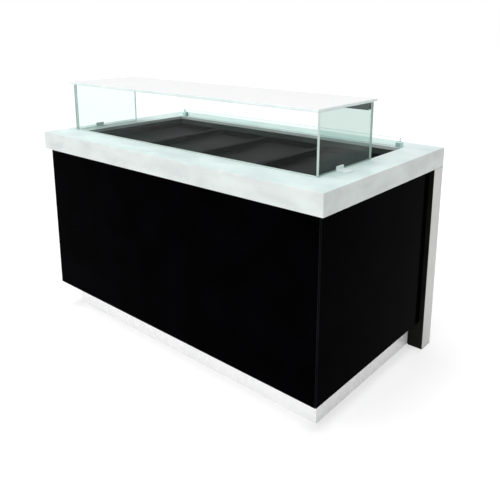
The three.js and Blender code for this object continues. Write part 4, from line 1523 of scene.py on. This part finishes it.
@dataclass
class GlassCase(Assembly):
    """The low glass case: three panes, the overhanging top, their fittings and the light rail."""

    head: ScrewHead = ScrewHead(3.4, 1.8)
    arris: float = 1.0
    top_corner: float = 4.0
    bead: float = 3.0
    bead_edge: float = 0.5
    bead_gap: float = 0.05
    bead_play: Pair = (0.2, 0.1)
    rail_edge: float = 0.5
    strip_corner: float = 0.8
    bracket_edge: float = 0.8
    bracket_sheet: float = 5.0
    foot_seat: float = 27.0
    screw_margin: float = 12.0
    screw_pitch: float = 21.0

    def build(self) -> None:
        """Builds panes, top, beads, brackets and the rail."""
        finishes = self.finishes
        for node, across, face, edge in (
            ("front_glass", Axis.Y, finishes.pane, finishes.front_edge),
            ("left_glass", Axis.X, finishes.pane, finishes.pane_edge),
            ("right_glass", Axis.X, finishes.end_pane, finishes.end_edge),
        ):
            form = Form().pane(Extent.of(node), across, self.arris)
            self.bench.piece(form, f"{node}_pane", face, edge, stands_for=node)
        form = Form().board(Extent.of("top_glass"), self.top_corner, self.arris).edged(Axis.Z)
        self.bench.piece(form, "top_glass_plate", finishes.top, finishes.top_edge, stands_for="top_glass")
        self.beads()
        for side in Side:
            self.bracket(side)
        self.bench.eased("light_rail", "light_rail_profile", finishes.rail, self.rail_edge)
        strip = Form().board(Extent.of("light_diffuser"), self.strip_corner, self.rail_edge)
        self.bench.piece(strip, "light_rail_opal", finishes.opal, stands_for="light_diffuser")

    def beads(self) -> None:
        """Runs a slim silicone fillet along the inner foot of every pane."""
        table = Extent.of("worktop").top
        front, left, right = (Extent.of(f"{word}_glass") for word in ("front", "left", "right"))
        tip, gap = self.bead, self.bead_gap

        def section(face: float, way: int) -> list[Pair]:
            """The fillet's triangle at a pane's inner face, on the side of a way."""
            return [(face + way * out, table + up) for out, up in ((gap, gap), (tip, gap), (gap, tip))]

        ends, corner = self.bead_play
        form = Form().prism(section(front.rear, 1), Axis.X, left.right + ends, right.left - ends)
        for face, way in ((left.right, 1), (right.left, -1)):
            form.prism(section(face, way), Axis.Y, front.rear + tip + corner, left.rear - tip)
        self.bench.piece(form.ease(self.bead_edge, 2), "pane_foot_beads", self.finishes.bead,
                         like="light_diffuser")

    def bracket(self, side: Side) -> None:
        """Builds one angle bracket with its screws, on the worktop and on the pane.

        Args:
            side: The side.
        """
        node = f"pane_bracket_{side.word}"
        self.bench.eased(node, f"{node}_angle", self.finishes.fitting, self.bracket_edge, 3)
        box = Extent.of(node)
        upright = box.right if side is Side.LEFT else box.left
        sheet, margin = self.bracket_sheet, self.screw_margin
        seats = (("foot", self.foot_seat, sheet, Facing.UP), ("pane", sheet, margin, side.outwards))
        for word, out, up, facing in seats:
            start = (upright + side.value * out, box.front + margin, box.bottom + up)
            self.screws(f"{node}_{word}_screws", start, (0, self.screw_pitch, 0), 2, facing, node)


@dataclass
class GlassGuard(Assembly):
    """The low glass guard behind the well and its two end clamps."""

    head: ScrewHead = ScrewHead(3.0, 1.4)
    arris: float = 0.8
    clamp_edge: float = 0.6
    screw_margin: Pair = (7.5, 10.0)
    screw_pitch: float = 10.0

    def build(self) -> None:
        """Builds the glass, the clamps and their set screws."""
        glass = Form().pane(Extent.of("guard_glass"), Axis.Y, self.arris)
        self.bench.piece(glass, "guard_glass_strip", self.finishes.pane, self.finishes.pane_edge,
                         stands_for="guard_glass")
        across, up = self.screw_margin
        for side in Side:
            node = f"guard_clamp_{side.word}"
            self.bench.eased(node, f"{node}_block", self.finishes.clamp, self.clamp_edge)
            clamp = Extent.of(node)
            self.screws(f"{node}_screws", (clamp.left + across, clamp.rear, clamp.bottom + up),
                        (self.screw_pitch, 0, 0), 2, Facing.OPERATOR, node)


@dataclass
class ControlFascia(Assembly):
    """The operator's fascia: thermostats with their knobs, the twin switch and the wiring box."""

    head: ScrewHead = ScrewHead(3.4, 1.5)
    box_head: ScrewHead = ScrewHead(2.8, 1.2)
    screw_margin: Pair = (20.0, 9.0)
    screw_count: int = 6
    sheet_edge: float = 0.5
    body_edge: float = 0.8
    box_edge: float = 1.2
    box_margin: float = 8.0
    skirt: float = 24.0
    cap: float = 20.0
    cap_height: float = 8.0
    depth: float = 17.0
    stem: float = 3.0
    stem_length: float = 14.0
    grip_width: float = 9.0
    inlay: float = 0.1
    tick: Extent = Extent(-2.2, 2.2, -0.45, 0.45, 0.0, 0.15)
    tick_gap: float = 4.6
    ticks: int = 11
    sweep: float = 270.0
    print_gap: float = 0.01
    bezel_edge: float = 0.5
    rocker_edge: float = 0.45
    rocker_half: float = 13.0
    rocker_rise: float = 2.2
    rocker_tilt: float = -10.0
    mark_size: float = 3.2
    mark_line: float = 0.6
    mark_levels: Pair = (0.01, 0.12)

    def build(self) -> None:
        """Builds the whole fascia."""
        self.bench.eased("control_fascia", "fascia_sheet", self.finishes.door, self.sheet_edge)
        box = Extent.of("control_fascia")
        across, up = self.screw_margin
        for word, height in (("upper", box.top - up), ("lower", box.bottom + up)):
            self.screws(f"fascia_{word}_screws", (box.left + across, box.rear, height),
                        (box.width - 2 * across, 0, 0), self.screw_count, Facing.OPERATOR, "control_fascia")
        for side in Side:
            node = f"thermostat_{side.word}"
            self.bench.eased(node, f"{node}_body", self.finishes.black, self.body_edge)
            self.knob(side.word, box.rear)
        self.switches()
        self.bench.eased("terminal_box", "wiring_box", self.finishes.black, self.box_edge, 3)
        box, margin = Extent.of("terminal_box"), self.box_margin
        reach = (0, 0, box.top - box.bottom - 2 * margin)
        for word, across in (("left", box.left + margin), ("right", box.right - margin)):
            self.screws(f"wiring_box_screws_{word}", (across, box.front, box.bottom + margin), reach, 2,
                        Facing.CUSTOMER, "terminal_box", self.box_head)

    def knob(self, word: str, face: float) -> None:
        """Builds a knob with its pointer, up when off, and the dial printed clockwise round it.

        Args:
            word: The name of the side whose thermostat it turns.
            face: The Y of the fascia's face.
        """
        box = Extent.of(f"knob_{word}")
        body = f"knob_{word}"
        across, _, height = box.middle
        skirt, cap, stem, top, depth = self.skirt, self.cap, self.stem, self.cap_height, self.depth

        def place(point: Point) -> Point:
            """Turns the knob's axis from up to the operator."""
            return across + point[0], box.rear - depth + point[2], height - point[1]

        form = Form().turned([
            (stem, -self.stem_length), (stem, 0), (skirt - 0.6, 0), (skirt, 0.6), (skirt, 2.0),
            (skirt - 1.0, 3.0), (cap, 3.2), (cap - 0.5, top - 1.0), (cap - 1.5, top), (0, top),
        ], place)
        half, reach = self.grip_width / 2, cap - 1.5
        grip = Rect(-half, half, -reach, reach)
        form.loft([
            contour(Rect(-half - 0.8, half + 0.8, -reach, reach), 3.4, top - 0.1),
            contour(grip, 3.2, depth - 1.2), contour(grip.grow(-1.2), 2.0, depth - self.inlay),
        ], place=place)
        self.bench.piece(form, f"thermostat_{body}", self.finishes.black, stands_for=body, body=body,
                         limit=50)
        line = Rect(-0.8, 0.8, 2.5 - reach, -4)
        pointer = Form().loft([contour(line, 0.5, depth - 0.5), contour(line, 0.5, depth)], place=place)
        self.bench.piece(pointer, f"knob_pointer_{word}", self.finishes.mark, like="light_diffuser",
                         body=body)
        dial = self.bench.ring.run(
            f"dial_ticks_{word}", Form().board(self.tick, 0.3, 0.05, 2), self.finishes.black,
            Count=self.ticks, Radius=(skirt + self.tick_gap) * METRES, First=math.pi / 2,
            Pitch=-math.radians(self.sweep / (self.ticks - 1)),
            Place=metres(across, face + self.print_gap, height), Turn=(math.pi / 2, 0.0, math.pi),
        )
        self.bench.piece(dial, f"dial_ticks_{word}", like="terminal_box")

    def switches(self) -> None:
        """Builds the twin bezel and the two rockers with their marks."""
        self.bench.eased("switch_bezel", "switch_frame", self.finishes.black, self.bezel_edge)
        for node, finish in (("power_rocker", self.finishes.red), ("light_rocker", self.finishes.black)):
            self.bench.eased(node, f"{node}_cap", finish, self.rocker_edge, body=node)
            self.bench.piece(self.marks(node), f"{node}_marks", self.finishes.mark, like="light_diffuser",
                             body=node)

    def marks(self, node: str) -> Form:
        """Prints the bar and the ring on a rocker's two flats.

        Args:
            node: The rocker's node.

        Returns:
            Both marks.
        """
        across, bezel = Extent.of(node).middle[0], Extent.of("switch_bezel")
        pivot = bezel.middle[2]
        half, rise = self.rocker_half, self.rocker_rise
        slope = math.hypot(half, rise)
        tilt = math.radians(self.rocker_tilt)

        def on_flat(way: int) -> Placing:
            """Lays a mark on one of the rocker's flats.

            Args:
                way: 1 for the upper flat and -1 for the lower.

            Returns:
                The placing of the mark's points.
            """

            def place(point: Point) -> Point:
                """Takes a point on the flat to its place on the tilted rocker."""
                out = rise / 2 + (half * point[2] - way * rise * point[1]) / slope
                up = way * half / 2 + (half * point[1] + way * rise * point[2]) / slope
                return (across + point[0], bezel.rear + out * math.cos(tilt) - up * math.sin(tilt),
                        pivot + out * math.sin(tilt) + up * math.cos(tilt))

            return place

        size, line = self.mark_size, self.mark_line
        low, high = self.mark_levels
        bar = [contour(Rect(-line, line, -size, size), 0.2, level) for level in (low, high)]
        section = ((size, low), (size, high), (size - 1, high), (size - 1, low))
        ring = [circle(radius, level) for radius, level in section]
        return Form().loft(bar, place=on_flat(1)).loft(ring, closed=True, place=on_flat(-1))


@dataclass
class SlidingDoors(Assembly):
    """Two sliding doors of folded sheet with pressed grips, and their tracks."""

    track_edge: float = 0.4
    sheet: float = 1.2
    lip: float = 12.0
    lip_edge: float = 0.6
    corner: float = 3.0
    face_edge: float = 2.0
    grip_width: float = 34.0
    grip_height: float = 120.0
    grip_depth: float = 9.0
    grip_inset: float = 32.0
    grip_corner: float = 8.0
    grip_edge: float = 1.6
    grip_bend: float = 2.5

    def build(self) -> None:
        """Builds the tracks and the doors."""
        for node in ("bottom_track", "top_track"):
            self.bench.eased(node, f"{node}_profile", self.finishes.track, self.track_edge)
        for side in Side:
            self.door(side)

    def door(self, side: Side) -> None:
        """Folds one door, with its grip near the leg.

        Args:
            side: The side on which the door closes.
        """
        node = f"{side.word}_door"
        box = Extent.of(node)
        leaf = Rect(box.left, box.right, box.bottom, box.top)
        outer = leaf.left + self.grip_inset if side is Side.LEFT else leaf.right - self.grip_inset
        inner = outer - side.value * self.grip_width
        middle, half = (leaf.front + leaf.rear) / 2, self.grip_height / 2
        grip = Rect(min(inner, outer), max(inner, outer), middle - half, middle + half)

        def place(point: Point) -> Point:
            """Stands the leaf up, with its face to the operator."""
            return point[0], box.rear - point[2], point[1]

        sheet, corner, mouth, edge, back = self.sheet, self.corner, self.grip_corner, self.lip_edge, box.depth
        cup = grip.grow(sheet)
        press = quarter(self.grip_bend)
        walls = (
            (leaf, corner, back - edge), (leaf.grow(-edge), corner, back),
            (leaf.grow(-self.lip), corner, back), (leaf.grow(-self.lip), corner, back - sheet),
            (leaf.grow(-sheet), corner, back - sheet), (leaf.grow(-sheet), corner, sheet),
            (cup.grow(self.grip_edge), mouth + sheet + self.grip_edge, sheet),
            (cup, mouth + sheet, sheet + self.grip_edge),
        )
        rings = [
            *rounding(grip, mouth, self.grip_depth, reversed(press)),
            *rounding(grip, mouth, 0.0, quarter(self.grip_edge), spread=1, rise=1),
            *rounding(leaf, corner, 0.0, reversed(quarter(self.face_edge)), rise=1, taper=0),
            *(contour(*wall) for wall in walls),
            *rounding(cup, mouth + sheet, self.grip_depth + sheet, press),
        ]
        self.bench.piece(Form().loft(rings, place=place), f"{node}_leaf", self.finishes.door, stands_for=node,
                         body=node)


@dataclass
class CableGland(Assembly):
    """The gland through the base board, with a hexagon nut and a ribbed dome."""

    bore: float = 6.0
    thread: float = 10.0
    pitch: float = 1.8
    nut: float = 12.04
    nut_height: float = 6.0
    board_play: float = 0.3
    dome: float = 12.0
    rib: Extent = Extent(-0.7, 0.9, -0.7, 0.7, 0.0, 12.0)
    rib_count: int = 16
    rib_drop: float = 13.0

    def build(self) -> None:
        """Builds the gland and the ribs of its dome."""
        box = Extent.of("inlet_gland")
        across, along, _ = box.middle
        nut_top = Extent.of("base_board").bottom - self.board_play
        dome_top = nut_top - self.nut_height
        dome, thread, bore = self.dome, self.thread, self.bore
        rings = [
            circle(bore, box.bottom), circle(dome * 0.72, box.bottom), circle(dome * 0.8, box.bottom + 1),
            circle(dome * 0.94, dome_top - 4), circle(dome * 0.96, dome_top),
            circle(self.nut, dome_top, flats=6), circle(self.nut, nut_top, flats=6),
            circle(thread - 0.4, nut_top),
        ]
        level = nut_top + 1
        while level < box.top - 2:
            rings += [circle(thread - 0.9, level), circle(thread, level + self.pitch / 2)]
            level += self.pitch
        rings += [circle(thread - 0.8, box.top), circle(bore, box.top)]
        form = Form().loft(rings, closed=True, place=moved(across, along))
        self.bench.piece(form, "cable_gland", self.finishes.black, stands_for="inlet_gland", limit=50)
        ribs = self.bench.ring.run(
            "gland_ribs", Form().board(self.rib, 0.3, 0.3, 2), self.finishes.black, Count=self.rib_count,
            Radius=dome * 0.9 * METRES, Pitch=2 * math.pi / self.rib_count,
            Place=metres(across, along, dome_top - self.rib_drop),
        )
        self.bench.piece(ribs, "gland_ribs", like="inlet_gland")


@dataclass(frozen=True)
class Studio:
    """The plain room: a pale floor, a white surround, soft lamps and the camera."""

    floor_size: float = 60.0
    floor_white: float = 0.62
    floor_glow: float = 0.48
    surround: float = 0.18
    hung: tuple[tuple[str, float, Point], ...] = (
        ("key_lamp", 1.1, (68.0, 0.0, -26.0)),
        ("top_lamp", 2.4, (8.0, 0.0, 0.0)),
        ("fill_lamp", 0.1, (88.0, 0.0, 75.0)),
    )
    softness: float = 50.0
    camera_place: Point = (1.745, -1.8858, 1.3997)
    camera_turn: float = -0.7131
    camera_dip: float = 0.2281
    lens: float = 41.99
    sensor: float = 36.0
    shift: float = -0.18
    far: float = 200.0
    white: Colour = (1.0, 1.0, 1.0)

    def build(self) -> None:
        """Builds floor, world, lamps and camera."""
        self.floor()
        self.world()
        self.lamps()
        self.camera()

    def floor(self) -> None:
        """Lays the floor, which shows white but keeps the counter's shadow."""
        half = self.floor_size / 2
        mesh = bpy.data.meshes.new("floor")
        corners = [(-half, -half, 0), (half, -half, 0), (half, half, 0), (-half, half, 0)]
        mesh.from_pydata(corners, [], [(0, 1, 2, 3)])
        floor = stand("floor", mesh)
        recipe = Recipe("floor_sweep")
        diffuse = recipe.out("ShaderNodeBsdfDiffuse", {"Color": (self.floor_white,) * 3})
        glow = recipe.out("ShaderNodeEmission", {"Color": self.white, "Strength": self.floor_glow})
        mesh.materials.append(recipe.done(recipe.out("ShaderNodeAddShader", {0: diffuse, 1: glow})))

    def world(self) -> None:
        """Makes the surround white to the eye, to gloss and through glass, and softer as a light."""
        world = bpy.data.worlds.new("surround")
        bpy.context.scene.world = world
        world.use_nodes = True
        wiring = Wiring(world.node_tree)
        rays = wiring.node("ShaderNodeLightPath").outputs
        bent = wiring.math("MAXIMUM", rays["Is Glossy Ray"], rays["Is Transmission Ray"])
        seen = wiring.math("MAXIMUM", rays["Is Camera Ray"], bent)
        strength = wiring.remap(seen, 0.0, 1.0, self.surround, 1.0)
        light = wiring.out("ShaderNodeBackground", {"Color": self.white, "Strength": strength})
        wiring.node("ShaderNodeOutputWorld", {"Surface": light})

    def lamps(self) -> None:
        """Hangs the broad soft lamps: at the customer's left, overhead, and low at the right."""
        for name, strength, turn in self.hung:
            data = bpy.data.lights.new(name, "SUN")
            data.energy = strength
            data.angle = math.radians(self.softness)
            stand(name, data).rotation_euler = Euler([math.radians(part) for part in turn])

    def camera(self) -> None:
        """Sets the camera at the photograph's place."""
        data = bpy.data.cameras.new("photograph")
        data.lens = self.lens
        data.sensor_width = self.sensor
        data.shift_y = self.shift
        data.clip_end = self.far
        level = math.cos(self.camera_dip)
        ahead = Vector((math.sin(self.camera_turn) * level, math.cos(self.camera_turn) * level,
                        -math.sin(self.camera_dip)))
        camera = stand("photograph", data)
        camera.location = self.camera_place
        camera.rotation_euler = ahead.to_track_quat("-Z", "Y").to_euler()
        bpy.context.scene.camera = camera
        bpy.context.scene.view_settings.view_transform = "Standard"


def main() -> None:
    """Builds the counter, one sub-assembly after another, and then its studio."""
    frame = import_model()
    slots = {part["node"]: part["material_slot"] for part in frame["record"]["subparts"]}
    bench = Bench(frame["nodes"], slots)
    for kind in (Worktop, RearLegs, Cladding, Cabinet, Plinth, HeatedWell, DisplayTrays, GlassCase,
                 GlassGuard, ControlFascia, SlidingDoors, CableGland):
        first = len(bench.made)
        kind(bench).build()
        for name in bench.made[first:]:
            LOG.info("%s: %s", kind.__name__, name)
    LOG.info("%d pieces", len(bench.made))
    Studio().build()


if __name__ == "__main__":
    logging.basicConfig(level=logging.INFO, format="%(name)s: %(message)s")
    main()
